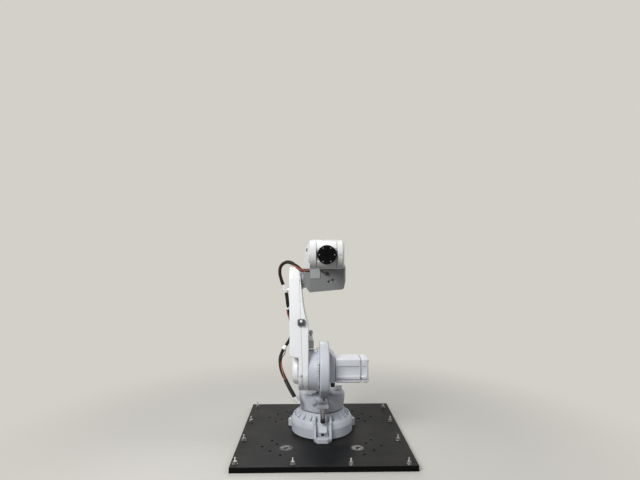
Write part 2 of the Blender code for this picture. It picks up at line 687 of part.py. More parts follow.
def motor_cut(name, left, right, bottom, top, side, slope):
    """A cutter for a recess or groove on the front (side -1) or back face of the arm motor."""
    size = (right - left, 2 * MOTOR_RECESS_DEPTH, top - bottom)
    y = -SHOULDER_FORWARD + side * ARM_MOTOR_BLOCK / 2
    cut = block(name, size, AXIS_1, ((left + right) / 2, y, (bottom + top) / 2), WHITE, 0)
    return soften(cut, slope, 1) if slope else cut


def arm_motor():
    """The lower arm's servo motor: sloping flange, body and end cap with recessed, grooved faces."""
    left = FRAME_RIGHT + SEAT_GAP
    right = left + ARM_MOTOR_FLANGE_THICKNESS
    bottom = ARM_MOTOR_Z - ARM_MOTOR_BLOCK / 2
    shoulder = ARM_MOTOR_FLANGE_TOP - ARM_MOTOR_FLANGE_STEP
    outline = [(left, bottom), (right, bottom), (right, shoulder), (left, ARM_MOTOR_FLANGE_TOP)]
    y = -SHOULDER_FORWARD
    shade(slab("axis_2_motor_flange", outline, ARM_MOTOR_BLOCK + ARM_MOTOR_EDGE, "XZ", AXIS_1,
               (0, y, 0), WHITE, FRAME_EDGE))
    body_left = right + SEAT_GAP
    body_right = body_left + ARM_MOTOR_BODY_LENGTH
    body = block("axis_2_motor", (ARM_MOTOR_BODY_LENGTH, ARM_MOTOR_BLOCK, ARM_MOTOR_BLOCK), AXIS_1,
                 ((body_left + body_right) / 2, y, ARM_MOTOR_Z), WHITE, ARM_MOTOR_EDGE)
    cap_left = body_right + SEAT_GAP
    cap_right = cap_left + ARM_MOTOR_CAP_LENGTH
    cap = block("axis_2_motor_cap", (ARM_MOTOR_CAP_LENGTH, ARM_MOTOR_BLOCK, ARM_MOTOR_BLOCK), AXIS_1,
                ((cap_left + cap_right) / 2, y, ARM_MOTOR_Z), WHITE, ARM_MOTOR_EDGE)
    groove_top = MOTOR_GROOVE_BOTTOM + MOTOR_GROOVE_HEIGHT
    bevel = MOTOR_RECESS_DEPTH - FINE_EDGE / 2
    for side in (-1, 1):
        combine(body, motor_cut(f"body_recess_{side}", MOTOR_RECESS_LEFT, MOTOR_RECESS_RIGHT,
                                MOTOR_RECESS_BOTTOM, MOTOR_RECESS_TOP, side, bevel), "DIFFERENCE")
        combine(cap, motor_cut(f"cap_recess_{side}", cap_left - bevel - FINE_EDGE, CAP_RECESS_RIGHT,
                               MOTOR_RECESS_BOTTOM, MOTOR_RECESS_TOP, side, bevel), "DIFFERENCE")
        groove = motor_cut(f"motor_groove_{side}", MOTOR_RECESS_LEFT, cap_right + OVERRUN,
                           MOTOR_GROOVE_BOTTOM, groove_top, side, 0)
        combine(body, groove, "DIFFERENCE")
        combine(cap, groove, "DIFFERENCE")
    plug_x = right - MOTOR_PLUG_RADIUS
    turned("axis_2_motor_plug", disc_profile(MOTOR_PLUG_RADIUS, bottom - SEAT_GAP,
                                             bottom - MOTOR_PLUG_LENGTH, FINE_EDGE),
           AXIS_1, (plug_x, y - ARM_MOTOR_BLOCK / 3, 0), BLACK, "Z", SMALL_STEPS)


def column_fittings():
    """The plug block on the right of the drum and the hose gland on its left."""
    height = COLUMN_PLUG_SIZE[2]
    block("column_plug", COLUMN_PLUG_SIZE, AXIS_1,
          (COLUMN_PLUG_X, 0, DRUM_TOP + SEAT_GAP + height / 2), WHITE)
    start = Vector(LOWER_ROUTE[0])
    way = (start - Vector(LOWER_ROUTE[1])).normalized()
    start += Vector(SHOULDER)
    gland = turned("hose_gland", disc_profile(GLAND_RADIUS, 0, -GLAND_LENGTH, FINE_EDGE),
                   AXIS_1, start + way * SEAT_GAP, WHITE, "Z", SMALL_STEPS)
    gland.rotation_mode = "QUATERNION"
    gland.rotation_quaternion = (-way).to_track_quat("Z", "Y")
    drum = turned("drum_clear", [(0, DRUM_TOP), (DRUM_RADIUS + SEAT_GAP, DRUM_TOP),
                                 (DRUM_RADIUS + SEAT_GAP, BASE_HEIGHT), (0, BASE_HEIGHT)],
                  AXIS_1, (0, 0, 0), WHITE)
    combine(gland, drum, "DIFFERENCE")


def arm_side_outline(grow=0.0):
    """Side view of the lower arm: two round ends joined by their common tangents."""
    lean = math.degrees(ARM_LEAN)
    top = arc((0, LOWER_ARM_LENGTH), ARM_TOP_RADIUS + grow, lean, 180 - lean, 16)
    bottom = arc((0, 0), HUB_RADIUS + grow, 180 - lean, 360 + lean, 24)
    return top + bottom


def arm_seam():
    """A cutter for the fine groove that runs round the arm's edge, leaning out as the arm does."""
    at = (ARM_SEAM_X, 0, 0)
    ring = slab("arm_seam", arm_side_outline(OVERRUN), ARM_SEAM_WIDTH, "YZ", AXIS_2, at, WHITE)
    core = slab("arm_seam_core", arm_side_outline(-ARM_SEAM_DEPTH), 2 * ARM_SEAM_WIDTH, "YZ", AXIS_2, at,
                WHITE)
    for piece in (ring, core):
        piece.rotation_euler = (0, -ARM_SEAM_LEAN, 0)
    return combine(ring, core, "DIFFERENCE")


def arm_front_outline(hub_right):
    """Front view of the lower arm: thick hub, then a beam that leans outwards."""
    hub_left = hub_right - HUB_THICKNESS
    low = -HUB_RADIUS - OVERRUN
    high = LOWER_ARM_LENGTH + ARM_TOP_RADIUS + OVERRUN
    boss_top = LOWER_ARM_LENGTH + ELBOW_BOSS_RADIUS
    return rounded([(hub_left, low), (hub_right, low), (hub_right, ARM_NECK_Z), (ARM_NARROW_X, ARM_NARROW_Z),
                    (ARM_SLIM_X, ARM_SLIM_Z), (ARM_INNER_TOP_X, boss_top), (ARM_INNER_TOP_X, high),
                    (ARM_OUTER_TOP_X, high), (ARM_OUTER_LOW_X, ARM_OUTER_START + ARM_EDGE, ARM_EDGE),
                    (hub_left, ARM_OUTER_START)])


def lower_arm(hub_right):
    """The lower arm casting, with the bearing boss that carries the elbow."""
    length = 2 * HUB_RADIUS + 2 * OVERRUN
    body = slab("lower_arm_beam", arm_side_outline(), hub_right - ARM_OUTER_TOP_X, "YZ", AXIS_2,
                ((hub_right + ARM_OUTER_TOP_X) / 2, 0, 0), WHITE)
    combine(body, slab("arm_front_shape", arm_front_outline(hub_right), length, "XZ", AXIS_2,
                       (0, 0, 0), WHITE), "INTERSECT")
    soften(body, ARM_EDGE / 2)
    combine(body, arm_seam(), "DIFFERENCE")
    root = ARM_OUTER_TOP_X / 2 + ARM_INNER_TOP_X / 2
    boss = [(0, ELBOW_SPIGOT_END_X), (ELBOW_SPIGOT_RADIUS, ELBOW_SPIGOT_END_X),
            (ELBOW_SPIGOT_RADIUS, ELBOW_BOSS_END_X), (ELBOW_BOSS_RADIUS, ELBOW_BOSS_END_X),
            (ELBOW_BOSS_RADIUS, root), (0, root)]
    combine(body, turned("elbow_boss", boss, AXIS_2, (0, 0, LOWER_ARM_LENGTH), WHITE, "X"), "UNION")


def hub_cap(hub_left):
    """The domed cover on the outer end of the shoulder axis."""
    width = HUB_CAP_RADIUS - HUB_CAP_FACE_RADIUS
    height = HUB_CAP_THICKNESS - HUB_CAP_RIM
    angles = [math.pi / 2 * step / DOME_STEPS for step in range(DOME_STEPS + 1)]
    dome = [(HUB_CAP_FACE_RADIUS + width * math.sin(a), HUB_CAP_RIM + height * math.cos(a)) for a in angles]
    turned("hub_cap", [(0, HUB_CAP_THICKNESS), *dome, (HUB_CAP_RADIUS, 0), (0, 0)],
           AXIS_2, (hub_left - SEAT_GAP, 0, 0), WHITE, "-X")


def arm_width_at(z):
    """Half the lower arm's side width at a height above the shoulder axis, on its tangent line."""
    return (HUB_RADIUS - z * math.sin(ARM_LEAN)) / math.cos(ARM_LEAN)


def arm_lamp():
    """The motors-on lamp: a black box on the arm's front edge with a round white lens."""
    width, depth, height = LAMP_SIZE
    seat = pivot("lamp_seat", AXIS_2, (LAMP_X, -arm_width_at(LAMP_Z), LAMP_Z))
    seat.rotation_euler = (-ARM_LEAN, 0, 0)
    block("arm_lamp", LAMP_SIZE, seat, (0, -SEAT_GAP - depth / 2, 0), BLACK)
    turned("arm_lamp_lens", disc_profile(LAMP_LENS_RADIUS, LAMP_LENS_THICKNESS, 0, LAMP_LENS_THICKNESS / 3),
           seat, (0, -2 * SEAT_GAP - depth, height / 6), LENS, "-Y", SMALL_STEPS)


def arm_stops(hub_right):
    """The buffer block, bracket and rubber buffer on the inner side of the lower arm."""
    left = hub_right + SEAT_GAP
    width, depth, height = BUFFER_BLOCK_SIZE
    block("buffer_block", BUFFER_BLOCK_SIZE, AXIS_2, (left + width / 2, 0, BUFFER_BLOCK_Z), RUBBER)
    bracket_bottom = BUFFER_BLOCK_Z + height / 2 + SEAT_GAP
    wide, deep, high = STOP_BRACKET_SIZE
    block("stop_bracket", STOP_BRACKET_SIZE, AXIS_2, (left + wide / 2, 0, bracket_bottom + high / 2), WHITE)
    bottom = bracket_bottom + high + SEAT_GAP
    top = bottom + STOP_BUFFER_LENGTH
    turned("stop_buffer", disc_profile(STOP_BUFFER_RADIUS, top, bottom, 2 * FINE_EDGE),
           AXIS_2, (left + STOP_BUFFER_RADIUS, 0, 0), RUBBER, "Z", SMALL_STEPS)


def elbow_housing():
    """The elbow's gear housing: a chamfered box with a stepped left shoulder."""
    top = ELBOW_SEAM_RISE - SEAT_GAP
    chamfer_top = ELBOW_BOTTOM_LEFT + ELBOW_CHAMFER_HEIGHT
    chamfer_end = (ELBOW_LEFT + ELBOW_CHAMFER_WIDTH, ELBOW_BOTTOM_LEFT + ELBOW_CHAMFER_FOOT)
    front_view = rounded([
        (ELBOW_LEFT, top), (ELBOW_LEFT, chamfer_top), chamfer_end,
        (ELBOW_STEP_X, ELBOW_BOTTOM_LEFT, ELBOW_CORNER / 4),
        (ELBOW_RIGHT - ELBOW_CORNER / 2, ELBOW_BOTTOM_RIGHT, ELBOW_CORNER / 2),
        (ELBOW_RIGHT, 0, ELBOW_CORNER), (ELBOW_RIGHT, top)])
    depth = ELBOW_BACK - ELBOW_FRONT
    middle = (ELBOW_BACK + ELBOW_FRONT) / 2
    body = slab("elbow_housing", front_view, depth, "XZ", AXIS_3, (0, middle, 0), GREY)
    plan = [(ELBOW_LEFT, ELBOW_BACK), (ELBOW_LEFT, ELBOW_FRONT + ELBOW_SIDE_CORNER),
            (ELBOW_STEP_X, ELBOW_FRONT), (ELBOW_RIGHT - ELBOW_CORNER / 3, ELBOW_FRONT, ELBOW_CORNER / 3),
            (ELBOW_RIGHT, ELBOW_FRONT + ELBOW_CORNER, ELBOW_CORNER / 3), (ELBOW_RIGHT, ELBOW_BACK)]
    height = ELBOW_SEAM_RISE - 2 * ELBOW_BOTTOM_LEFT
    combine(body, slab("elbow_plan", rounded(plan), height, "XY", AXIS_3, (0, 0, 0), GREY), "INTERSECT")
    soften(body, FINE_EDGE)
    step = (ELBOW_STEP_X - ELBOW_LEFT + OVERRUN, depth + 2 * OVERRUN, ELBOW_SEAM_RISE - ELBOW_STEP_TOP)
    step_centre = (ELBOW_STEP_X - step[0] / 2, middle, ELBOW_STEP_TOP + step[2] / 2)
    combine(body, block("elbow_step", step, AXIS_3, step_centre, GREY, 0), "DIFFERENCE")
    radius = ELBOW_SPIGOT_RADIUS + JOINT_SEAM
    end = ELBOW_SPIGOT_END_X + JOINT_SEAM
    pocket = [(0, end), (radius, end), (radius, ELBOW_LEFT - OVERRUN), (0, ELBOW_LEFT - OVERRUN)]
    combine(body, turned("elbow_pocket", pocket, AXIS_3, (0, 0, 0), GREY, "X"), "DIFFERENCE")
    hole = [(0, ELBOW_HOLE_DEPTH), (ELBOW_HOLE_RADIUS, ELBOW_HOLE_DEPTH),
            (ELBOW_HOLE_RADIUS, -ELBOW_HOLE_DEPTH), (0, -ELBOW_HOLE_DEPTH)]
    for index, (x, z) in enumerate(ELBOW_HOLE_PLACES):
        combine(body, turned(f"elbow_hole_{index}", hole, AXIS_3, (x, ELBOW_FRONT, z), GREY, "-Y",
                             SMALL_STEPS), "DIFFERENCE")


def forearm_housing():
    """The upper housing that carries the forearm, with the gear cover on its left."""
    depth = HOUSING_BACK - ELBOW_FRONT
    middle = (HOUSING_BACK + ELBOW_FRONT) / 2
    flare = HOUSING_RIGHT + HOUSING_FLARE
    outline = rounded([(HOUSING_LEFT, ELBOW_SEAM_RISE), (flare, ELBOW_SEAM_RISE),
                       (flare, ELBOW_SEAM_RISE + HOUSING_FLARE_BOTTOM),
                       (HOUSING_RIGHT, ELBOW_SEAM_RISE + HOUSING_FLARE_TOP),
                       (HOUSING_RIGHT, HOUSING_TOP, HOUSING_CORNER), (HOUSING_LEFT, HOUSING_TOP)])
    body = slab("forearm_housing", outline, depth, "XZ", AXIS_3, (0, middle, 0), WHITE)
    shade(soften(body, HOUSING_EDGE))
    cover_front = ELBOW_FRONT + COVER_SETBACK
    right = HOUSING_LEFT - SEAT_GAP
    cover = [(COVER_LEFT, COVER_BOTTOM), (right, COVER_BOTTOM), (right, HOUSING_TOP - HOUSING_EDGE),
             (right - HOUSING_EDGE, HOUSING_TOP - HOUSING_EDGE),
             (COVER_TOP_LEFT, HOUSING_TOP - 2 * HOUSING_CORNER),
             (COVER_LEFT, COVER_BOTTOM + HOUSING_CORNER)]
    slab("gear_cover", cover, COVER_BACK - cover_front, "XZ", AXIS_3,
         (0, (COVER_BACK + cover_front) / 2, 0), WHITE, FINE_EDGE)


def elbow_fittings():
    """The junction plate, connector and knob on the front of the elbow."""
    face = ELBOW_FRONT - SEAT_GAP
    block("junction_plate", JUNCTION_SIZE, AXIS_3,
          (JUNCTION_X, face - JUNCTION_SIZE[1] / 2, JUNCTION_Z), GREY, FINE_EDGE / 2)
    turned("front_connector", disc_profile(CONNECTOR_RADIUS, CONNECTOR_LENGTH, 0, FINE_EDGE / 2),
           AXIS_3, (CONNECTOR_X, face, CONNECTOR_Z), BLACK, "-Y", SMALL_STEPS)
    turned("front_knob", disc_profile(KNOB_RADIUS, KNOB_LENGTH, 0, FINE_EDGE / 2),
           AXIS_3, (KNOB_X, face, KNOB_Z), BLACK, "-Y", SMALL_STEPS)


def wrist_motors():
    """The three small servo motors behind the forearm housing that drive the wrist axes."""
    pitch = WRIST_MOTOR_SIDE + WRIST_MOTOR_GAP
    y = HOUSING_BACK + SEAT_GAP + WRIST_MOTOR_LENGTH / 2
    low = ELBOW_SEAM_RISE + HOUSING_CORNER + WRIST_MOTOR_SIDE / 2
    centre_x = (HOUSING_LEFT + HOUSING_RIGHT) / 2 + WRIST_MOTOR_SIDE / 4
    spots = ((centre_x - pitch / 2, low), (centre_x + pitch / 2, low), (centre_x, low + pitch))
    for number, (x, z) in enumerate(spots, start=4):
        block(f"axis_{number}_motor", (WRIST_MOTOR_SIDE, WRIST_MOTOR_LENGTH, WRIST_MOTOR_SIDE), AXIS_3,
              (x, y, z), WHITE, FRAME_EDGE)


def fork(end):
    """The fork that holds the wrist: two round cheeks that widen out of the tube in front of its end."""
    start = end - FORK_DEPTH
    tip = FOREARM_LENGTH + CHEEK_RADIUS + OVERRUN
    inner = FORK_GAP / 2
    left = inner + CHEEK_THICKNESS["left"]
    right = inner + CHEEK_THICKNESS["right"]
    root = FORK_ROOT_WIDTH / 2
    side_view = (arc((-FOREARM_LENGTH, 0), CHEEK_RADIUS, 90, 270, 24)
                 + [(-start, -CHEEK_ROOT_HEIGHT / 2), (-start, CHEEK_ROOT_HEIGHT / 2)])
    floor = end + FINE_EDGE
    plan = [(-root, -start), (-left, -end), (-left, -tip), (-inner, -tip), (-inner, -floor),
            (inner, -floor), (inner, -tip), (right, -tip), (right, -end), (root, -start)]
    body = slab("wrist_fork", side_view, 2 * left, "YZ", AXIS_4, (0, 0, 0), WHITE)
    combine(body, slab("fork_plan", plan, 2 * tip, "XY", AXIS_4, (0, 0, 0), WHITE), "INTERSECT")
    return soften(body, FINE_EDGE)


def forearm():
    """The forearm: collar on the housing, tapered tube and the fork that holds the wrist."""
    collar_back = -ELBOW_FRONT + SEAT_GAP
    collar_front = collar_back + COLLAR_THICKNESS
    turned("forearm_collar", disc_profile(COLLAR_RADIUS, collar_front, collar_back, FINE_EDGE),
           AXIS_4, (0, 0, 0), WHITE, "-Y")
    root = collar_front + JOINT_SEAM
    end = FOREARM_LENGTH - FORK_DEPTH
    profile = [(0, end), (TUBE_FRONT_RADIUS - FINE_EDGE, end), (TUBE_FRONT_RADIUS, end - FINE_EDGE),
               (TUBE_FRONT_RADIUS, root + 2 * TUBE_ROOT_LENGTH), (TUBE_ROOT_RADIUS, root + TUBE_ROOT_LENGTH),
               (TUBE_ROOT_RADIUS, root), (0, root)]
    tube = turned("forearm_tube", profile, AXIS_4, (0, 0, 0), WHITE, "-Y")
    combine(tube, fork(end), "UNION")
    for hand, axis in (("left", "-X"), ("right", "X")):
        outer = FORK_GAP / 2 + CHEEK_THICKNESS[hand] + SEAT_GAP
        turned(f"wrist_cap_{hand}", disc_profile(CHEEK_CAP_RADIUS, outer + CHEEK_CAP_THICKNESS, outer,
                                                 FINE_EDGE / 2),
               AXIS_4, (0, -FOREARM_LENGTH, 0), WHITE, axis, ROUND_STEPS)


def wrist():
    """The tilting wrist housing and the turning disc that tools bolt to."""
    half = FORK_GAP / 2 - WRIST_SIDE_GAP
    body = turned("wrist_housing", disc_profile(WRIST_RADIUS, half, -half, FINE_EDGE),
                  AXIS_5, (0, 0, 0), WHITE, "X")
    neck_end = WRIST_TO_FACE - FLANGE_THICKNESS - JOINT_SEAM
    depth = WRIST_RADIUS - neck_end + OVERRUN
    combine(body, block("wrist_flat", (FORK_GAP, depth, 2 * WRIST_RADIUS), AXIS_5,
                        (0, -neck_end - depth / 2 + FINE_EDGE, 0), WHITE, 0), "DIFFERENCE")
    reach = FORK_GAP / 2 - JOINT_SEAM
    journal = disc_profile(WRIST_JOURNAL_RADIUS, reach, -reach, FINE_EDGE / 2)
    combine(body, turned("wrist_journal", journal, AXIS_5, (0, 0, 0), WHITE, "X"), "UNION")
    neck = [(0, neck_end), (WRIST_NECK_RADIUS, neck_end), (WRIST_NECK_RADIUS, 0), (0, 0)]
    combine(body, turned("wrist_neck", neck, AXIS_5, (0, 0, 0), WHITE, "-Y"), "UNION")
    turned("turning_disc", disc_profile(FLANGE_RADIUS, WRIST_TO_FACE, neck_end + JOINT_SEAM, FINE_EDGE / 2),
           AXIS_6, (0, 0, 0), BLACK, "-Y")


TO_ELBOW = Vector((0, 0, LOWER_ARM_LENGTH))


def hose_clamp(name, first, second, seat, reach):
    """A clamp round the sleeve on a straight stretch of it, on a foot that reaches the arm along one axis."""
    centre = (first + second) / 2
    way = (second - first).to_track_quat("Z", "Y")
    inner = SLEEVE_DIAMETER / 2 + CLAMP_CLEARANCE
    half = CLAMP_LENGTH / 2
    size = [CLAMP_FOOT_WIDTH, CLAMP_FOOT_WIDTH, CLAMP_FOOT_HEIGHT]
    place = centre.copy()
    size[reach] = abs(seat - centre[reach])
    place[reach] = (seat + centre[reach]) / 2
    clamp = turned(name, disc_profile(inner + CLAMP_WALL, half, -half, FINE_EDGE / 2), AXIS_2, centre,
                   BLACK, "Z", SMALL_STEPS)
    bore = turned(name + "_bore", [(0, 2 * half), (inner, 2 * half), (inner, -2 * half), (0, -2 * half)],
                  AXIS_2, centre, BLACK, "Z", SMALL_STEPS)
    for piece in (clamp, bore):
        piece.rotation_mode = "QUATERNION"
        piece.rotation_quaternion = way
    combine(clamp, block(name + "_foot", size, AXIS_2, place, BLACK), "UNION")
    combine(clamp, bore, "DIFFERENCE")


def arm_outer_at(z):
    """The place of the lower arm's outer face at a height above the shoulder axis."""
    share = (z - ARM_OUTER_START) / (LOWER_ARM_LENGTH + ARM_TOP_RADIUS - ARM_OUTER_START)
    return ARM_OUTER_LOW_X + (ARM_OUTER_TOP_X - ARM_OUTER_LOW_X) * share


def hose_clamps():
    """The clamp on the arm's outer face and the one behind the arm."""
    first, second = [Vector(p) + TO_ELBOW for p in UPPER_ROUTE[UPPER_CLAMP_POINT:UPPER_CLAMP_POINT + 2]]
    hose_clamp("hose_clamp_upper", first, second, arm_outer_at(second.z) - SEAT_GAP, 0)
    first, second = [Vector(p) for p in LOWER_ROUTE[REAR_CLAMP_POINT:REAR_CLAMP_POINT + 2]]
    hose_clamp("hose_clamp_rear", first, second, arm_width_at(first.z) + SEAT_GAP, 1)


def dress_pack():
    """The cable sleeve from the drum up to the elbow, and its last stretch into the elbow."""
    route = [Vector(p) for p in LOWER_ROUTE] + [Vector(p) + TO_ELBOW for p in UPPER_ROUTE]
    hose("dress_hose", route, SLEEVE_DIAMETER, AXIS_2, SLEEVE)
    hose("dress_hose_tail", TAIL_ROUTE, TAIL_DIAMETER, AXIS_3, SLEEVE)


base_plate()
base_casting()
connector_panel()
turret_casting()
stop_pin()
column_motor()
HUB_RIGHT = reducer() - SEAT_GAP
arm_motor()
column_fittings()
lower_arm(HUB_RIGHT)
hub_cap(HUB_RIGHT - HUB_THICKNESS)
arm_lamp()
arm_stops(HUB_RIGHT)
elbow_housing()
forearm_housing()
elbow_fittings()
wrist_motors()
forearm()
wrist()
dress_pack()
hose_clamps()
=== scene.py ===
# Industrial robot arm on its floor plate: finishes, fasteners and the cable bundle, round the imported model.
# Metres, +Z up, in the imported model's frame. The arm faces -Y, and X points right seen from the front.
import itertools
import math

import bmesh
import bpy
import numpy as np
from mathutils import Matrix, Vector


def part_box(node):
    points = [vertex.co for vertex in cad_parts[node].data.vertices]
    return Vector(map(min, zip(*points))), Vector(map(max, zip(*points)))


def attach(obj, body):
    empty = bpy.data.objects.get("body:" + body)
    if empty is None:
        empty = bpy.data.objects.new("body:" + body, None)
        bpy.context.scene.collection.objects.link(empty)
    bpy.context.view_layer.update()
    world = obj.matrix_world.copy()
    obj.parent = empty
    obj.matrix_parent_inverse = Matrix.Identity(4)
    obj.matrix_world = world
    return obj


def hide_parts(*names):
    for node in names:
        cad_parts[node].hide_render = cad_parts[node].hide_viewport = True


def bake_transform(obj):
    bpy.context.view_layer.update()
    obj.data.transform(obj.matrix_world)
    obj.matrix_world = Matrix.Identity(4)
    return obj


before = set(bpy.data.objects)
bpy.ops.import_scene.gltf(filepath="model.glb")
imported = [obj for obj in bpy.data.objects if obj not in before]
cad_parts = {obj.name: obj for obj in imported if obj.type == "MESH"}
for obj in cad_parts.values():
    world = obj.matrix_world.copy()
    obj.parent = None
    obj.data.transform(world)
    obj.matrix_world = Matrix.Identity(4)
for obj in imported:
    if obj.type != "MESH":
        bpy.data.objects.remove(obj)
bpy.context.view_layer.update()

# Camera: a wide lens at about the forearm's height, 3.3 m in front of the column.
# The lens and the place were fitted to the plate's corners and the arm's height.
CAMERA_PLACE = (-0.0858, -3.2982, 1.2886)
CAMERA_TILT = 0.04177
CAMERA_TURN = -0.02192
CAMERA_LENS = 24.74
camera = bpy.data.objects.new("camera", bpy.data.cameras.new("camera"))
bpy.context.collection.objects.link(camera)
camera.location = CAMERA_PLACE
camera.rotation_euler = (math.pi / 2 + CAMERA_TILT, 0, CAMERA_TURN)
camera.data.sensor_width = 36
camera.data.lens = CAMERA_LENS
bpy.context.scene.camera = camera


# Floor plate: rolled steel, flame-cut square, drilled with through holes and painted near-black.
# The paint is scuffed pale round two of the holes, and a dark reflection is painted in front of the foot.
class Wire:
    """An output in a finish's nodes. Sums and products of wires are Math nodes; add makes any other node."""

    def __init__(self, socket):
        """The wire starts at a node's output socket."""
        self.socket = socket

    def add(self, kind, settings=(), inputs=(), output=0):
        """A node of a kind, its settings first, then the values or wires of its input sockets."""
        node = self.socket.id_data.nodes.new("ShaderNode" + kind)
        for setting, value in dict(settings).items():
            setattr(node, setting, value)
        for key, value in dict(inputs).items():
            if isinstance(value, Wire):
                self.socket.id_data.links.new(value.socket, node.inputs[key])
            else:
                node.inputs[key].default_value = value
        return Wire(node.outputs[output])

    def figure(self, operation, first, second=0.0):
        """A Math node of two values or wires."""
        return self.add("Math", {"operation": operation}, {0: first, 1: second})

    def of(self, operation):
        """A Math node of this wire alone."""
        return self.figure(operation, self)

    def __add__(self, other):
        """This wire plus another."""
        return self.figure("ADD", self, other)

    def __sub__(self, other):
        """This wire less another."""
        return self.figure("SUBTRACT", self, other)

    def __rsub__(self, other):
        """A number less this wire."""
        return self.figure("SUBTRACT", other, self)

    def __mul__(self, other):
        """This wire times another."""
        return self.figure("MULTIPLY", self, other)

    __radd__ = __add__
    __rmul__ = __mul__

    def rise(self, low, high):
        """0 below low, 1 above high, and a smooth rise between."""
        return self.add("MapRange", {"interpolation_type": "SMOOTHSTEP"}, {0: self, 1: low, 2: high})

    def along(self, axis):
        """One coordinate of this place."""
        return self.add("SeparateXYZ", (), {0: self}, "XYZ".index(axis))

    def noise(self, scale, detail=2.0, rough=0.5):
        """Cloudy noise with about so many lumps to the metre."""
        inputs = {"Vector": self, "Scale": scale, "Detail": detail, "Roughness": rough}
        return self.add("TexNoise", (), inputs)

    def between(self, first, second):
        """The colour between two, with this wire as the share of the second."""
        return self.add("Mix", {"data_type": "RGBA"}, {0: self, 6: first, 7: second}, 2)

    def height(self, strength, distance, edge=None):
        """The normal that this wire gives as a height, over a rounded edge's normal if there is one."""
        base = {} if edge is None else {"Normal": edge}
        return self.add("Bump", (), {"Strength": strength, "Distance": distance, "Height": self, **base})

    def into(self, shader, socket):
        """Lead this wire into a shader's socket."""
        self.socket.id_data.links.new(self.socket, shader.inputs[socket])


def finish(name, **constants):
    """A new material, its shader with constants set on it, and its Object coordinates as a wire."""
    material = bpy.data.materials.new(name)
    material.use_nodes = True
    shader = material.node_tree.nodes["Principled BSDF"]
    for socket, value in constants.items():
        shader.inputs[socket.replace("_", " ")].default_value = value
    place = Wire(material.node_tree.nodes.new("ShaderNodeTexCoord").outputs["Object"])
    return material, shader, place


def away_from(place, centre, flat=True):
    """The distance of each point from a centre, level if flat."""
    keep = (1, 1, 0) if flat else (1, 1, 1)
    level = place.add("VectorMath", {"operation": "MULTIPLY"}, {0: place, 1: keep})
    target = tuple(c * k for c, k in zip(centre, keep))
    return place.add("VectorMath", {"operation": "DISTANCE"}, {0: level, 1: target}, 1)


PLATE_COLOUR = (0.014, 0.014, 0.015, 1)
PLATE_DUST = (0.034, 0.033, 0.031, 1)
# Colour of the dark reflection painted in front of the foot.
PLATE_PAINTED_REFLECTION = (0.004, 0.005, 0.006, 1)
PLATE_SCUFF = (0.34, 0.33, 0.32, 1)
# Colour of the shade painted on the plate's sides.
PLATE_SIDE_SHADE = (0.004, 0.004, 0.004, 1)
PLATE_LOW, PLATE_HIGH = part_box("base_plate")
PLATE_TOP = PLATE_HIGH[2]
PLATE_CHAMFER = 0.0015
HOLE_RADIUS = 0.009
# Five holes at each corner, as distances across and along from the pattern's centre.
HOLE_PATTERN = ((0.342, 0.176), (0.301, 0.231), (0.399, 0.268), (0.340, 0.340), (0.269, 0.399))
HOLE_CENTRE = (-0.007, -0.033)
SCUFF_HOLES = ((-0.245, -0.325), (0.227, -0.335))
SCUFF_INNER = (0.030, 0.037)
SCUFF_OUTER = (0.052, 0.068)
PAINTED_REFLECTION_PLACE = (0.04, -0.42, 0)
PAINTED_REFLECTION_REACH = (0.20, 0.36)
SIDE_SHADE_BAND = (0.003, 0.001)
HOLE_FACETS = 24
SMOOTH_ANGLE = 40
PLATE_ANGLE = 15


def plate_paint():
    """Near-black paint. Dust is cloudy noise, the dark reflection painted in front of the foot and the worn
    rings round two holes are distances made ragged by noise, and the scratches are noise drawn out one way."""
    material, paint, place = finish("plate_paint", IOR=1.17)
    clouds = place.noise(5, 5, 0.6)
    dust = place.noise(55, 4, 0.7).rise(0.48, 0.75)
    colour = (clouds.rise(0.35, 0.7) * 0.5 + dust * 0.3).between(PLATE_COLOUR, PLATE_DUST)
    # In front of the foot a dark reflection is painted on, with a little more gloss.
    front = away_from(place, PAINTED_REFLECTION_PLACE)
    painted_reflection = (1 - (front + clouds * 0.22).rise(*PAINTED_REFLECTION_REACH)) * 0.9
    colour = painted_reflection.between(colour, PLATE_PAINTED_REFLECTION)
    ragged = place.noise(45, 5, 0.75)
    scuffs = 0
    for centre in SCUFF_HOLES:
        edge = away_from(place, (*centre, 0)) + ragged * 0.040
        ring = edge.rise(*SCUFF_INNER) * (1 - edge.rise(*SCUFF_OUTER))
        scuffs = scuffs + ring * ragged.rise(0.36, 0.56)
    marks = place.add("Mapping", (), {"Vector": place, "Rotation": (0, 0, 0.6), "Scale": (7, 160, 1)})
    scratches = marks.noise(1, 3, 0.6).rise(0.70, 0.74) * clouds.rise(0.45, 0.6)
    colour = (scuffs * 0.8 + scratches * 0.12).between(colour, PLATE_SCUFF)
    # Below a thin band under the top, the plate's sides are painted darker: painted shade.
    edge = 1 - place.along("Z").rise(*(PLATE_TOP - depth for depth in SIDE_SHADE_BAND))
    edge.between(colour, PLATE_SIDE_SHADE).into(paint, "Base Color")
    (0.50 - painted_reflection * 0.12 + scuffs * 0.2 + dust * 0.12 + edge * 0.2).into(paint, "Roughness")
    (place.noise(260, 3) + clouds * 0.5).height(0.25, 0.0006).into(paint, "Normal")
    return material


def flat_ring(centre, radius, count):
    """Points of a level circle: centre plus radius times (cos a, sin a), a running once round."""
    turn = np.linspace(0, 2 * np.pi, count, endpoint=False)
    return np.column_stack([centre[0] + radius * np.cos(turn), centre[1] + radius * np.sin(turn)])


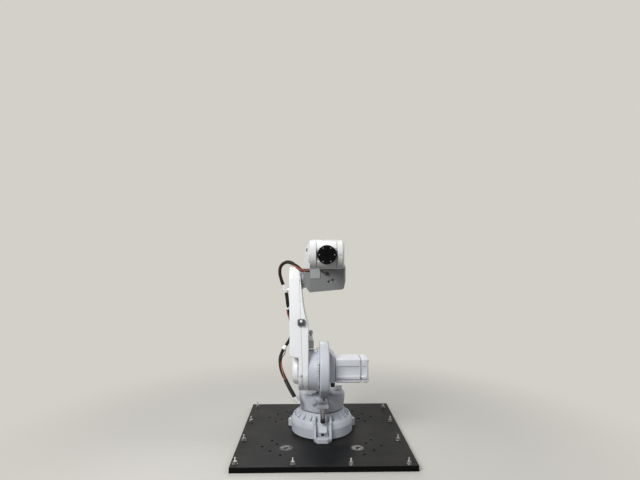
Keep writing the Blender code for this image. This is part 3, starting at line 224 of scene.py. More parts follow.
def drilled_sheet(name, outline, holes, low, high, chamfer):
    """A flat outline with round holes, raised from low to high, its edges chamfered."""
    drawing = bpy.data.curves.new(name, "CURVE")
    drawing.dimensions = "2D"
    drawing.fill_mode = "BOTH"
    drawing.extrude = (high - low) / 2 - chamfer
    drawing.bevel_depth = chamfer
    drawing.bevel_resolution = 1
    drawing.offset = -chamfer
    for ring in [outline, *holes]:
        spline = drawing.splines.new("POLY")
        spline.points.add(len(ring) - 1)
        flat = np.column_stack([ring, np.zeros(len(ring)), np.ones(len(ring))])
        spline.points.foreach_set("co", flat.ravel())
        spline.use_cyclic_u = True
    guide = bpy.data.objects.new(name + "_drawing", drawing)
    bpy.context.collection.objects.link(guide)
    mesh = bpy.data.meshes.new_from_object(guide.evaluated_get(bpy.context.evaluated_depsgraph_get()))
    bpy.data.objects.remove(guide)
    points = np.empty(len(mesh.vertices) * 3)
    mesh.vertices.foreach_get("co", points)
    points[2::3] += (low + high) / 2
    mesh.vertices.foreach_set("co", points)
    mesh.name = name
    return mesh


def tidy(mesh, angle=SMOOTH_ANGLE):
    """Merge doubled points, turn the faces outwards and shade smooth below an angle."""
    grid = bmesh.new()
    grid.from_mesh(mesh)
    bmesh.ops.remove_doubles(grid, verts=grid.verts, dist=0.00001)
    bmesh.ops.recalc_face_normals(grid, faces=grid.faces)
    grid.to_mesh(mesh)
    grid.free()
    mesh.shade_smooth()
    mesh.set_sharp_from_angle(angle=math.radians(angle))
    return mesh


def piece(name, mesh, material, body, slot, *nodes):
    """A finished piece: its material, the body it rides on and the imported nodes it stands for."""
    thing = bpy.data.objects.new(name, mesh)
    bpy.context.collection.objects.link(thing)
    mesh.materials.clear()
    mesh.materials.append(material)
    if body:
        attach(thing, body)
    if nodes:
        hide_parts(*nodes)
    return thing


corner = [(PLATE_LOW[0], PLATE_LOW[1]), (PLATE_HIGH[0], PLATE_LOW[1]),
          (PLATE_HIGH[0], PLATE_HIGH[1]), (PLATE_LOW[0], PLATE_HIGH[1])]
hole_rings = [flat_ring((HOLE_CENTRE[0] + sx * x, HOLE_CENTRE[1] + sy * y), HOLE_RADIUS, HOLE_FACETS)
              for x, y in HOLE_PATTERN for sx in (-1, 1) for sy in (-1, 1)]
hole_rings += [flat_ring(centre, HOLE_RADIUS, HOLE_FACETS) for centre in SCUFF_HOLES]
PLATE_PAINT = plate_paint()
piece("drilled_floor_plate", tidy(drilled_sheet("drilled_floor_plate", np.array(corner), hole_rings,
                                                PLATE_LOW[2], PLATE_TOP, PLATE_CHAMFER), PLATE_ANGLE),
      PLATE_PAINT, "base", "plate_steel", "base_plate")


# Levelling studs: threaded bright steel rods through the plate near its edges, each with a washer and a nut.
# They are screwed down against the floor to level the plate.
STUD_RADIUS = 0.0055
STUD_HEIGHT = 0.042
NUT_ACROSS = 0.024
NUT_HEIGHT = 0.014
WASHER_RADIUS = 0.0160
WASHER_HEIGHT = 0.003
WASHER_LIFT = 0.0002
THREAD_PITCH = 0.002
THREAD_ROOT_SHARE = 0.86
ROD_TIP_SHARE = 0.7
NUT_FLAT_SHARE = 0.85
NUT_ROUNDING_SHARE = 1.03
UP = (0, 0, 1)
# How many facets go round a threaded rod, and a small, a middling and a large turned piece.
ROD_FACETS = 16
SMALL_ROUND = 24
MIDDLING_ROUND = 32
LARGE_ROUND = 48
STUD_PLACES = ((-0.540, 0.149), (-0.543, -0.201), (-0.544, -0.549), (-0.192, -0.562), (0.164, -0.573),
               (0.518, -0.574), (0.520, -0.223), (0.529, 0.129), (-0.529, 0.485), (0.526, 0.438))


def axes_of(axis):
    """An axis at unit length and two unit vectors square to it: its cross product with the upright (with Y
    where the axis is upright itself), and its cross product with that."""
    axis = np.asarray(axis, float) / np.linalg.norm(axis)
    side = np.cross(axis, (0, 0, 1)) if abs(axis[2]) < 0.9 else np.cross(axis, (0, 1, 0))
    side = side / np.linalg.norm(side)
    return axis, side, np.cross(axis, side)


def spun(radii, heights, axis=UP, turn=0.0):
    """Rows of points about an axis: radii[i, j] out from it at heights[i] along it, j running once round."""
    axis, side, up = axes_of(axis)
    count = radii.shape[1]
    angle = np.linspace(0, 2 * np.pi, count, endpoint=False) + turn
    out = np.cos(angle)[:, None] * side + np.sin(angle)[:, None] * up
    heights = np.broadcast_to(np.asarray(heights, float).reshape(len(radii), -1), radii.shape)
    return radii[:, :, None] * out[None] + heights[:, :, None] * axis


def lathe(profile, count=LARGE_ROUND, axis=UP):
    """A turned form: each (radius, height) of the profile becomes one round row."""
    profile = np.asarray(profile, float)
    return spun(np.repeat(profile[:, :1], count, axis=1), profile[:, 1], axis)


def ring_faces(rows, count, start=0):
    """The faces over rows of points that close into rings: quads between the rows, then the two end rings."""
    index = start + np.arange(rows * count).reshape(rows, count)
    ring = np.hstack([index, index[:, :1]])
    quads = np.stack([ring[:-1, :-1], ring[:-1, 1:], ring[1:, 1:], ring[1:, :-1]], axis=-1)
    return quads.reshape(-1, 4).tolist() + [index[0].tolist(), index[-1].tolist()]


def skin(name, grids):
    """One mesh from grids of points, each of them a closed skin over rings."""
    points, faces, start = [], [], 0
    for grid in grids:
        rows, count = grid.shape[:2]
        faces += ring_faces(rows, count, start)
        points.append(grid.reshape(-1, 3))
        start += rows * count
    mesh = bpy.data.meshes.new(name)
    mesh.from_pydata(np.concatenate(points), [], faces)
    return tidy(mesh)


def skinned(name, grids, material, body, slot, *nodes):
    """A finished piece whose skin comes from grids of points."""
    return piece(name, skin(name, grids), material, body, slot, *nodes)


def six_sided(across, count=SMALL_ROUND):
    """Radius of a hexagon round its centre: half its width over the cosine from the nearest flat."""
    angle = np.linspace(0, 2 * np.pi, count, endpoint=False)
    return across / 2 / np.cos((angle + np.pi / 6) % (np.pi / 3) - np.pi / 6)


def stud(centre):
    """Threaded rod, whose radius rises and falls once a pitch, with a six-sided nut and a washer."""
    rows = np.arange(0, STUD_HEIGHT, THREAD_PITCH / 2)
    thread = np.where(np.arange(len(rows)) % 2, STUD_RADIUS, STUD_RADIUS * THREAD_ROOT_SHARE)
    thread[-1] = STUD_RADIUS * ROD_TIP_SHARE
    rod = spun(np.repeat(thread[:, None], ROD_FACETS, axis=1), rows)
    washer = lathe([(WASHER_RADIUS, WASHER_LIFT), (WASHER_RADIUS, WASHER_HEIGHT),
                    (STUD_RADIUS, WASHER_HEIGHT)], MIDDLING_ROUND)
    flats = six_sided(NUT_ACROSS)
    round_off = np.minimum(flats, NUT_ACROSS / 2 * NUT_ROUNDING_SHARE)
    nut = spun(np.array([flats, flats, round_off]),
               [WASHER_HEIGHT, WASHER_HEIGHT + NUT_HEIGHT * NUT_FLAT_SHARE, WASHER_HEIGHT + NUT_HEIGHT])
    return [grid + (*centre, PLATE_TOP) for grid in (rod, washer, nut)]


def toned(colour, share, lift=0.0):
    """A colour with each of its parts times a share, plus a lift."""
    return tuple(part * share + lift for part in colour[:3]) + (1,)


def bright_steel(name, colour, rough):
    """Plated or ground steel: cloudy noise changes its tone and its gloss, over a fine grain."""
    material, metal, place = finish(name, Metallic=1.0)
    cloud = place.noise(90, 4, 0.6)
    cloud.between(colour, toned(colour, 0.62)).into(metal, "Base Color")
    (cloud.rise(0.3, 0.8) * 0.25 + rough).into(metal, "Roughness")
    place.noise(900, 2).height(0.15, 0.0002).into(metal, "Normal")
    return material


STUD_STEEL = bright_steel("stud_steel", (0.40, 0.40, 0.385, 1), 0.30)
skinned("levelling_studs", [g for place in STUD_PLACES for g in stud(place)],
        STUD_STEEL, "base", "bright_steel")


# Base: an iron casting with a ring of pockets parted by thin webs, bolted down by its feet.
# It is sprayed, as most of the castings are, with pale paint: fine orange peel over the cast skin, with a
# little grime in patches and painted shade in its corners. Two rails and a ramp run from its neck down to the
# front foot.
# The base's colour is the arm's pale paint made darker: painted shade.
BASE_COLOUR_WITH_PAINTED_SHADE = (0.54, 0.56, 0.605, 1)
# The grime colours here and below are also the colour of the shade painted into corners and creases.
PAINT_GRIME_AND_SHADE = (0.26, 0.265, 0.275, 1)
PAINT_CHIP = (0.20, 0.20, 0.20, 1)
EDGE_ROUNDING = 0.0022
CORNER_SHADE_REACH = 0.016
FOOT_TOP = PLATE_TOP + 0.053
ZINC = bright_steel("zinc_plated_steel", (0.62, 0.62, 0.60, 1), 0.22)
FOOT_BOLT_REACH = 0.238
FOOT_TURN = math.radians(20)
SLOT_CENTRE = (0, -0.211, PLATE_TOP + 0.042)
SLOT_SIZE = (0.0194, 0.010, 0.0214)
LINING_EDGE = 0.001
CAST_ANGLE = 34
BASE_ANGLE = 12
FLAT_FACE_WEIGHT = 80
FOOT_BOLT_ACROSS = 0.017
BOX_TOP = PLATE_TOP + 0.112
BOX_SCREW_X = 0.102
BOX_SCREW_Y = (0.250, 0.380)
BOX_SCREW = (0.004, 0.0035)
NECK_FRONT = (-0.176, PLATE_TOP + 0.159)
RAIL_OUTLINE = (NECK_FRONT, (-0.2300, PLATE_TOP + 0.121), (-0.2300, PLATE_TOP + 0.098),
                (-0.176, PLATE_TOP + 0.120))
RAIL_SIDES = ((-0.060, -0.048), (0.048, 0.060))
RAMP_OUTLINE = (NECK_FRONT, (-0.248, PLATE_TOP + 0.066), (-0.245, PLATE_TOP + 0.058),
                (-0.176, PLATE_TOP + 0.058))
RAMP_SIDES = (-0.028, 0.028)


def sprayed_paint(name, colour, grime_and_shade, rough, skin_height, dark_spot=None):
    """Paint over a cast skin. Grime is cloudy noise and run-down streaks; corners and creases are darkened as
    painted shade. Chips are where an edge's rounded normal leaves its flat one, in patches. A dark spot darkens
    the paint round a point, out to a radius."""
    material, paint, place = finish(name, IOR=1.45)
    patches = place.noise(11, 5, 0.6)
    streaks = place.add("Mapping", (), {"Vector": place, "Scale": (60, 60, 5)}).noise(1, 3, 0.6)
    # Where nearby surfaces hem the paint in, in corners and creases, it is darkened: painted shade.
    corners = 1 - place.add("AmbientOcclusion", {"samples": 5}, {"Distance": CORNER_SHADE_REACH}, "AO")
    dirt_and_shade = patches.rise(0.52, 0.80) * 0.20 + streaks.rise(0.60, 0.85) * 0.10 + corners.rise(0.22, 0.85) * 0.75
    # A dark spot: the paint is darkened round a point, out to a radius.
    if dark_spot:
        dirt_and_shade = dirt_and_shade + (1 - (away_from(place, dark_spot[0], False) + patches * 0.03).rise(0.01, dark_spot[1])) * 1.1
    tone = dirt_and_shade.between(colour, grime_and_shade)
    edge = place.add("Bevel", {"samples": 6}, {"Radius": EDGE_ROUNDING})
    flat = place.add("NewGeometry", (), (), "Normal")
    level = place.add("VectorMath", {"operation": "DOT_PRODUCT"}, {0: edge, 1: flat}, "Value")
    chips = (1 - level).rise(0.03, 0.12) * place.noise(75, 4, 0.7).rise(0.57, 0.64)
    specks = place.noise(170, 2, 0.5).rise(0.745, 0.775)
    (specks * 0.5 + chips * 0.6).between(tone, PAINT_CHIP).into(paint, "Base Color")
    (patches * 0.16 + dirt_and_shade * 0.3 + rough).into(paint, "Roughness")
    (place.noise(380, 3) + place.noise(70, 3) * 1.6).height(0.35, skin_height, edge).into(paint, "Normal")
    return material


BASE_WHITE = sprayed_paint("base_white_paint", BASE_COLOUR_WITH_PAINTED_SHADE, PAINT_GRIME_AND_SHADE, 0.30, 0.0006)


def moulded(name, colour, rough, grain):
    """Moulded plastic or rubber: fine grain, with a faint bloom in patches."""
    material, plastic, place = finish(name, IOR=1.46)
    bloom = place.noise(40, 4, 0.6)
    (bloom.rise(0.45, 0.8) * 0.35).between(colour, toned(colour, 0.7, 0.06)).into(plastic, "Base Color")
    (bloom * 0.15 + rough).into(plastic, "Roughness")
    place.noise(grain, 2).height(0.3, 0.0002).into(plastic, "Normal")
    return material


BLACK_PLASTIC = moulded("black_plastic", (0.012, 0.012, 0.013, 1), 0.42, 900)


def recast(node, material, body, slot, angle=CAST_ANGLE):
    """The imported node's own shape, its loose triangles merged into one skin that is smooth on round faces."""
    mesh = tidy(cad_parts[node].data.copy(), angle)
    thing = piece("finished_" + node, mesh, material, body, slot, node)
    weigh = thing.modifiers.new("flat_faces_stay_flat", "WEIGHTED_NORMAL")
    weigh.keep_sharp = True
    weigh.weight = FLAT_FACE_WEIGHT
    return thing


BOX_CORNER_SHARE = 1.2


def rounded_box(centre, size, edge, count=8):
    """Rings of a rounded rectangle, carried up Z: the two end rings are drawn in by the edge's radius."""
    turn = np.linspace(0, 2 * np.pi, 4 * count, endpoint=False) + np.pi / (4 * count)
    corner = np.column_stack([np.sign(np.cos(turn)), np.sign(np.sin(turn))])
    rows = []
    for inset, height in ((edge, -0.5), (0, -0.5 + edge / size[2]), (0, 0.5 - edge / size[2]), (edge, 0.5)):
        half = np.array(size[:2]) / 2 - inset
        radius = edge * BOX_CORNER_SHARE
        flat = corner * (half - radius) + radius * np.column_stack([np.cos(turn), np.sin(turn)])
        rows.append(np.column_stack([flat, np.full(len(flat), height * size[2])]))
    return np.array(rows) + np.asarray(centre)


SCREW_RIM_SHARE = 0.14
SOCKET_SHARE = 0.4


def cap_screw(place, axis, radius, height):
    """Socket-head screw: straight side, rounded rim, then a six-sided recess that steps in and down."""
    rim = radius * SCREW_RIM_SHARE
    socket = six_sided(radius)
    side = np.full_like(socket, radius)
    rows = np.array([side, side, side - rim, socket, socket])
    return spun(rows, [0, height - rim, height, height, height * SOCKET_SHARE], axis) + np.asarray(place)


# A foot bolt's washer and the heights of its head, as shares of the width across its flats.
BOLT_WASHER_SHARES = ((0.85, 0), (0.85, 0.1), (0.4, 0.1))
BOLT_HEAD_SHARES = (0.1, 0.6, 0.68)


def hex_bolt(place, across):
    """Six-sided head on a washer, standing up: rows of the washer, the flats and the rounded-off top."""
    flats = six_sided(across)
    washer = lathe(across * np.array(BOLT_WASHER_SHARES), MIDDLING_ROUND)
    head = spun(np.array([flats, flats, np.minimum(flats, across / 2 * NUT_ROUNDING_SHARE)]),
                across * np.array(BOLT_HEAD_SHARES))
    return [washer + np.asarray(place), head + np.asarray(place)]


def upright_slab(outline, sides):
    """A (y, z) outline carried across from the first side's x to the second's."""
    flat = np.array(outline)
    return np.array([np.column_stack([np.full(len(flat), x), flat]) for x in sides])


recast("base_casting", BASE_WHITE, "base", "casting_paint", BASE_ANGLE)
rails = [upright_slab(RAIL_OUTLINE, sides) for sides in RAIL_SIDES] + [upright_slab(RAMP_OUTLINE, RAMP_SIDES)]
skinned("base_front_rails", rails, BASE_WHITE, "base", "casting_paint")
foot_bolts = []
for turn in (FOOT_TURN, np.pi - FOOT_TURN):
    foot_bolts += hex_bolt((FOOT_BOLT_REACH * np.cos(turn), FOOT_BOLT_REACH * np.sin(turn), FOOT_TOP),
                           FOOT_BOLT_ACROSS)
skinned("base_foot_bolts", foot_bolts, ZINC, "base", "bright_steel")
box_screws = [cap_screw((x, y, BOX_TOP), UP, *BOX_SCREW)
              for x in (-BOX_SCREW_X, BOX_SCREW_X) for y in BOX_SCREW_Y]
skinned("cable_box_screws", box_screws, ZINC, "base", "bright_steel")
pocket_lining = rounded_box(SLOT_CENTRE, SLOT_SIZE, LINING_EDGE)
skinned("base_bolt_pocket_lining", [pocket_lining], BLACK_PLASTIC, "base", "black_plastic")


# Cable box: its steel panel at the back, held by four screws, carries three round sockets in a row.
# Each socket is a plated shell round a black insert.
PANEL_LOW, PANEL_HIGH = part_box("connector_panel")
PANEL_THICKNESS = 0.006
SOCKET_PITCH = 0.206 / 3
BACK = (0, 1, 0)
SHELL_PROFILE = ((0.0212, 0), (0.0212, 0.004), (0.0202, 0.005), (0.0202, 0.0186), (0.0192, 0.0196),
                 (0.0165, 0.0196), (0.0162, 0.0188), (0.0162, 0.0182))
INSERT_PROFILE = ((0.0158, 0.0181), (0.0158, 0.0192), (0.0148, 0.0194))
PANEL_SCREW = (0.003, 0.0025)
PANEL_SCREW_INSET = 0.008

panel_face = PANEL_LOW[1] + PANEL_THICKNESS
panel_middle = (PANEL_LOW[2] + PANEL_HIGH[2]) / 2
socket_places = np.array([(side * SOCKET_PITCH, panel_face, panel_middle) for side in (-1, 0, 1)])
recast("connector_panel", ZINC, "base", "bright_steel")
shells = [lathe(SHELL_PROFILE, LARGE_ROUND, BACK) + p for p in socket_places]
skinned("panel_socket_shells", shells, ZINC, "base", "bright_steel")
inserts = [lathe(INSERT_PROFILE, MIDDLING_ROUND, BACK) + p for p in socket_places]
skinned("panel_socket_inserts", inserts, BLACK_PLASTIC, "base", "black_plastic")
panel_screws = [cap_screw((x, panel_face, z), BACK, *PANEL_SCREW)
                for x in (PANEL_LOW[0] + PANEL_SCREW_INSET, PANEL_HIGH[0] - PANEL_SCREW_INSET)
                for z in (PANEL_LOW[2] + PANEL_SCREW_INSET, PANEL_HIGH[2] - PANEL_SCREW_INSET)]
skinned("panel_screws", panel_screws, ZINC, "base", "bright_steel")


# Column: a second casting, drum below and upright frame above, with its motor on the shelf behind.
# The stop lug carries a ground steel pin with a black rubber end. The hose leaves a white gland at the left.
LUG_SLOT_CENTRE = (0.011, -0.161, PLATE_TOP + 0.264)
LUG_SLOT_SIZE = (0.0084, 0.010, 0.0234)
# Screws at the corners of a face: how far in they sit, their radius and their height.
MOTOR_TOP_SCREWS = (0.014, 0.004, 0.004)
# The hood's rings: their half width, their height and their lean, as shares of the plug's own size.
HOOD_SHARES = ((0.50, 0, 0), (0.54, 0.06, 0), (0.54, 0.75, 0), (0.47, 0.82, 0.02), (0.45, 1.55, 0.14),
               (0.38, 1.75, 0.18), (0.22, 1.80, 0.20))
HOOD_SQUARENESS = 0.75
HOOD_POINTS = 32
LUG_PLACE = (0, -0.215, PLATE_TOP + 0.240)
LUG_DARK_SPOT_REACH = 0.115
# The column's colour and its motors' colour are the arm's pale paint made darker: painted shade.
COLUMN_COLOUR_WITH_PAINTED_SHADE = (0.53, 0.55, 0.595, 1)
COLUMN_GRIME_AND_SHADE = (0.11, 0.113, 0.118, 1)
SERVO_COLOUR_WITH_PAINTED_SHADE = (0.66, 0.675, 0.705, 1)
WHITE_PLASTIC = moulded("white_plastic", (0.84, 0.85, 0.85, 1), 0.26, 700)
# Round the stop lug the column's paint is darkened, out to a reach.
COLUMN_WHITE = sprayed_paint("column_white_paint", COLUMN_COLOUR_WITH_PAINTED_SHADE, COLUMN_GRIME_AND_SHADE, 0.28, 0.0006,
                             (LUG_PLACE, LUG_DARK_SPOT_REACH))
SERVO_WHITE = sprayed_paint("servo_white_paint", SERVO_COLOUR_WITH_PAINTED_SHADE, PAINT_GRIME_AND_SHADE, 0.26, 0.0004)
GROUND_STEEL = bright_steel("ground_steel", (0.40, 0.40, 0.405, 1), 0.20)

recast("turret_casting", COLUMN_WHITE, "column", "casting_paint")
recast("axis_1_motor", SERVO_WHITE, "column", "casting_paint")
recast("stop_pin", GROUND_STEEL, "column", "bright_steel")
recast("stop_pin_buffer", BLACK_PLASTIC, "column", "buffer_rubber")
recast("hose_gland", WHITE_PLASTIC, "column", "white_plastic")


def box_of(node):
    """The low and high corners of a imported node's box, as arrays."""
    return np.array(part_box(node))


def corner_screws(node, axis, inset, radius, height):
    """A screw near each corner of the face of a node's box that looks along an axis."""
    low, high = box_of(node)
    spans = list(zip(low + inset, high - inset))
    along = int(np.argmax(np.abs(axis)))
    spans[along] = (high[along] if axis[along] > 0 else low[along],)
    return [cap_screw(place, axis, radius, height) for place in itertools.product(*spans)]


lug_lining = rounded_box(LUG_SLOT_CENTRE, LUG_SLOT_SIZE, LINING_EDGE)
skinned("lug_slot_lining", [lug_lining], BLACK_PLASTIC, "column", "black_plastic")
skinned("column_motor_screws", corner_screws("axis_1_motor", UP, *MOTOR_TOP_SCREWS), ZINC, "column",
        "bright_steel")


def plug_hood(low, high):
    """A moulded plug hood: rounded rectangles carried up, smaller and leaning out more towards the top. Each
    is a circle whose points are divided by the three-quarter power of their larger coordinate."""
    centre, size = (low + high) / 2, high - low
    turn = np.linspace(0, 2 * np.pi, HOOD_POINTS, endpoint=False)
    ring = np.column_stack([np.cos(turn), np.sin(turn)])
    square = ring / np.abs(ring).max(axis=1, keepdims=True) ** HOOD_SQUARENESS
    rows = []
    for share, height, lean in HOOD_SHARES:
        flat = centre[:2] + square * size[:2] * share + (lean * size[0], 0)
        rows.append(np.column_stack([flat, np.full(HOOD_POINTS, low[2] + height * size[2])]))
    return np.array(rows)


skinned("column_plug_hood", [plug_hood(*box_of("column_plug"))], WHITE_PLASTIC,
        "column", "white_plastic", "column_plug")


# Shoulder: the gear unit bolted to the frame by a ring of screws, and the arm's motor on its sloping flange.
# The motor's front and back are recessed like a picture frame, and its end cap is held by four screws.
SHOULDER = np.array([0, -0.150, 0.5033])
GEAR_RIM_X = -0.0363
GEAR_RING_RADIUS = 0.1452
GEAR_SCREWS = 20
GEAR_SCREW = (0.0042, 0.0045)
MOTOR_CAP_SCREW = (0.005, 0.004)
MOTOR_SIDE_SCREW = (0.0032, 0.0012)
MOTOR_CORNER = 0.066
MOTOR_SIDE_PLACE = (0.099, 0.534)
FRONT = (0, -1, 0)
LEFT = (-1, 0, 0)
RIGHT = (1, 0, 0)


def bolt_ring(centre, axis, radius, count, turn=0.0):
    """Evenly spaced places on a circle about an axis."""
    return spun(np.full((1, count), radius), [0], axis, turn)[0] + np.asarray(centre)


for node, paint in (("reducer_housing", COLUMN_WHITE), ("axis_2_motor_flange", COLUMN_WHITE),
                    ("axis_2_motor", SERVO_WHITE), ("axis_2_motor_cap", SERVO_WHITE)):
    recast(node, paint, "column", "casting_paint")
recast("axis_2_motor_plug", BLACK_PLASTIC, "column", "black_plastic")
ring = bolt_ring((GEAR_RIM_X, *SHOULDER[1:]), LEFT, GEAR_RING_RADIUS, GEAR_SCREWS, np.pi / GEAR_SCREWS)
gear_screws = [cap_screw(p, LEFT, *GEAR_SCREW) for p in ring]
skinned("gear_unit_screws", gear_screws, ZINC, "column", "bright_steel")
cap_low, cap_high = box_of("axis_2_motor_cap")
cap_centre = (cap_low + cap_high) / 2
motor_screws = [cap_screw((cap_high[0], cap_centre[1] + y, cap_centre[2] + z), RIGHT, *MOTOR_CAP_SCREW)
                for y in (-MOTOR_CORNER, MOTOR_CORNER) for z in (-MOTOR_CORNER, MOTOR_CORNER)]
for y, axis in ((cap_low[1], FRONT), (cap_high[1], BACK)):
    side_place = (MOTOR_SIDE_PLACE[0], y, PLATE_TOP + MOTOR_SIDE_PLACE[1])
    motor_screws.append(cap_screw(side_place, axis, *MOTOR_SIDE_SCREW))
skinned("arm_motor_screws", motor_screws, ZINC, "column", "bright_steel")


# Lower arm: one casting, its hub bolted to the gear unit's output under a domed cover.
# The lamp sits on its front edge; a block, bracket and ball buffer on its inner side stop it at its limits.
HUB_FACE_X = -0.1656
HUB_RING_RADIUS = 0.1185
HUB_COVER_RING = 0.052
HUB_SCREWS = 24
HUB_SCREW = (0.0055, 0.0055)
HUB_SCREWS_TOP = 0.085
HUB_COVER_SCREWS = 6
HUB_COVER_SCREW = (0.0040, 0.0035)
ARM_LEAN = math.asin(0.050 / 0.630)
LAMP_SIZE = (0.047, 0.043)
LAMP_DEPTH = 0.022
LAMP_SQUARENESS = 10
LAMP_POINTS = 64
LAMP_NOTCH = (0.20, 0.24)
# The lamp's rings: how far each is drawn in and how far forward it lies, as shares of its width and depth.
LAMP_SHARES = ((0, 0), (0, 0.86), (0.010, 0.94), (0.030, 0.985), (0.050, 1.0))
LENS_PROFILE = ((0.0088, 0), (0.0088, 0.0012), (0.0081, 0.0024), (0.0064, 0.0034), (0.0036, 0.0040),
                (0.001, 0.0042))
LENS_SINK = 0.002
BALL_PROFILE = ((0.009, 0), (0.009, 0.006), (0.0115, 0.0085), (0.0143, 0.015), (0.0150, 0.022),
                (0.0143, 0.029), (0.0118, 0.035), (0.0082, 0.0385), (0.004, 0.0398), (0.001, 0.040))
ARM_COLOUR = (0.83, 0.835, 0.84, 1)
ARM_WHITE = sprayed_paint("arm_white_paint", ARM_COLOUR, PAINT_GRIME_AND_SHADE, 0.26, 0.0005)
LAMP_CASE = moulded("lamp_case_plastic", (0.050, 0.054, 0.062, 1), 0.45, 900)
RUBBER = moulded("buffer_rubber", (0.40, 0.40, 0.38, 1), 0.62, 1200)
LENS = moulded("lamp_lens", (0.86, 0.87, 0.86, 1), 0.16, 300)

recast("lower_arm_beam", ARM_WHITE, "lower_arm", "casting_paint")
recast("hub_cap", ARM_WHITE, "lower_arm", "casting_paint")
recast("stop_bracket", ARM_WHITE, "lower_arm", "casting_paint")
recast("buffer_block", RUBBER, "lower_arm", "buffer_rubber")
recast("hose_clamp_upper", WHITE_PLASTIC, "lower_arm", "black_plastic")
recast("hose_clamp_rear", BLACK_PLASTIC, "lower_arm", "black_plastic")
hub_ring = bolt_ring((HUB_FACE_X, *SHOULDER[1:]), LEFT, HUB_RING_RADIUS, HUB_SCREWS, np.pi / HUB_SCREWS)
hub_places = hub_ring[hub_ring[:, 2] < SHOULDER[2] + HUB_SCREWS_TOP]
cover_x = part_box("hub_cap")[0][0]
cover_places = bolt_ring((cover_x, *SHOULDER[1:]), LEFT, HUB_COVER_RING, HUB_COVER_SCREWS)
arm_screws = [cap_screw(p, LEFT, *HUB_SCREW) for p in hub_places]
arm_screws += [cap_screw(p, LEFT, *HUB_COVER_SCREW) for p in cover_places]
skinned("lower_arm_screws", arm_screws, ZINC, "lower_arm", "bright_steel")


def lamp_body(centre, width, height, depth):
    """Rings of a rounded square, carried forward and drawn in at the front edge. The reach is 1 over the
    tenth root of the sum of the cosine's and the sine's tenth powers, less a bell-shaped notch below."""
    turn = np.linspace(0, 2 * np.pi, LAMP_POINTS, endpoint=False)
    across, up = np.cos(turn), np.sin(turn)
    reach = 1 / (np.abs(across) ** LAMP_SQUARENESS + np.abs(up) ** LAMP_SQUARENESS) ** (1 / LAMP_SQUARENESS)
    notch = 1 - LAMP_NOTCH[0] * np.exp(-((turn - 1.5 * np.pi) / LAMP_NOTCH[1]) ** 2)
    rows = []
    for inset, out in LAMP_SHARES:
        size = (0.5 - inset) * reach * notch
        forward = np.full(LAMP_POINTS, -out * depth)
        rows.append(np.column_stack([size * width * across, forward, size * height * up]))
    lean = np.array([[1, 0, 0], [0, math.cos(ARM_LEAN), -math.sin(ARM_LEAN)],
                     [0, math.sin(ARM_LEAN), math.cos(ARM_LEAN)]])
    return (np.array(rows) @ lean) + centre


def middle_of(node, axis=(0, 0, 0)):
    """The middle of a node's box or, given an axis, of the face that the axis leads away from."""
    low, high = box_of(node)
    away = np.asarray(axis)
    return np.where(away > 0, low, np.where(away < 0, high, (low + high) / 2))


FORWARD = np.array([0, -math.cos(ARM_LEAN), math.sin(ARM_LEAN)])
lamp_seat = middle_of("arm_lamp") - FORWARD * LAMP_DEPTH / 2
skinned("lamp_case", [lamp_body(lamp_seat, *LAMP_SIZE, LAMP_DEPTH)], LAMP_CASE,
        "lower_arm", "black_plastic", "arm_lamp")
lens_seat = middle_of("arm_lamp_lens") - FORWARD * LENS_SINK
skinned("lamp_dome", [lathe(LENS_PROFILE, MIDDLING_ROUND, FORWARD) + lens_seat], LENS, "lower_arm",
        "lamp_lens", "arm_lamp_lens")
ball_foot = middle_of("stop_buffer", UP)
skinned("ball_buffer", [lathe(BALL_PROFILE, MIDDLING_ROUND) + ball_foot], RUBBER, "lower_arm",
        "buffer_rubber", "stop_buffer")


# Elbow: a grey gear housing below and a white upper housing, with the gear cover at its left.
# The junction plate, a round connector and a knob are on its front, and three servo motors at its back.
ELBOW = np.array([0, -0.150, 1.1333])
# The gear housing and the junction plate are grey paint, made darker still as painted shade under the forearm.
HOUSING_COLOUR_WITH_PAINTED_SHADE = (0.165, 0.17, 0.167, 1)
HOUSING_GRIME_AND_SHADE = (0.08, 0.08, 0.08, 1)
JUNCTION_COLOUR_WITH_PAINTED_SHADE = (0.30, 0.31, 0.31, 1)
JUNCTION_GRIME_AND_SHADE = (0.16, 0.16, 0.16, 1)
# The forearm's colour is the arm's pale paint made darker: painted shade on the forearm and wrist.
FOREARM_COLOUR_WITH_PAINTED_SHADE = (0.60, 0.60, 0.595, 1)
HOUSING_GREY = sprayed_paint("housing_grey_paint", HOUSING_COLOUR_WITH_PAINTED_SHADE, HOUSING_GRIME_AND_SHADE, 0.38, 0.0006)
PLATE_GREY = sprayed_paint("junction_grey_paint", JUNCTION_COLOUR_WITH_PAINTED_SHADE, JUNCTION_GRIME_AND_SHADE, 0.36, 0.0004)
FOREARM_WHITE = sprayed_paint("forearm_white_paint", FOREARM_COLOUR_WITH_PAINTED_SHADE, PAINT_GRIME_AND_SHADE, 0.28, 0.0005)
ELBOW_FACE = ELBOW[1] - 0.120
HOLE_PLACES = ((0.068, 0.006), (0.040, -0.005))
COVER_SLOT_CENTRE = (-0.111, -0.2401, PLATE_TOP + 1.3125)
COVER_SLOT_SIZE = (0.008, 0.001, 0.021)
COVER_SLOT_EDGE = 0.0004
PLUG_PROFILE = ((0.0077, -0.010), (0.0077, -0.0045), (0.0070, -0.0040))
WRIST_MOTORS = ("axis_4_motor", "axis_5_motor", "axis_6_motor")
JUNCTION_SCREWS = (0.007, 0.0026, 0.0016)
WRIST_MOTOR_SCREWS = (0.011, 0.0034, 0.003)
CONNECTOR_PROFILE = ((0.013, 0), (0.013, 0.003), (0.0118, 0.004), (0.0118, 0.0125), (0.0126, 0.0135),
                     (0.0126, 0.016), (0.0095, 0.016), (0.0092, 0.0152))
CONNECTOR_ROUND = 40
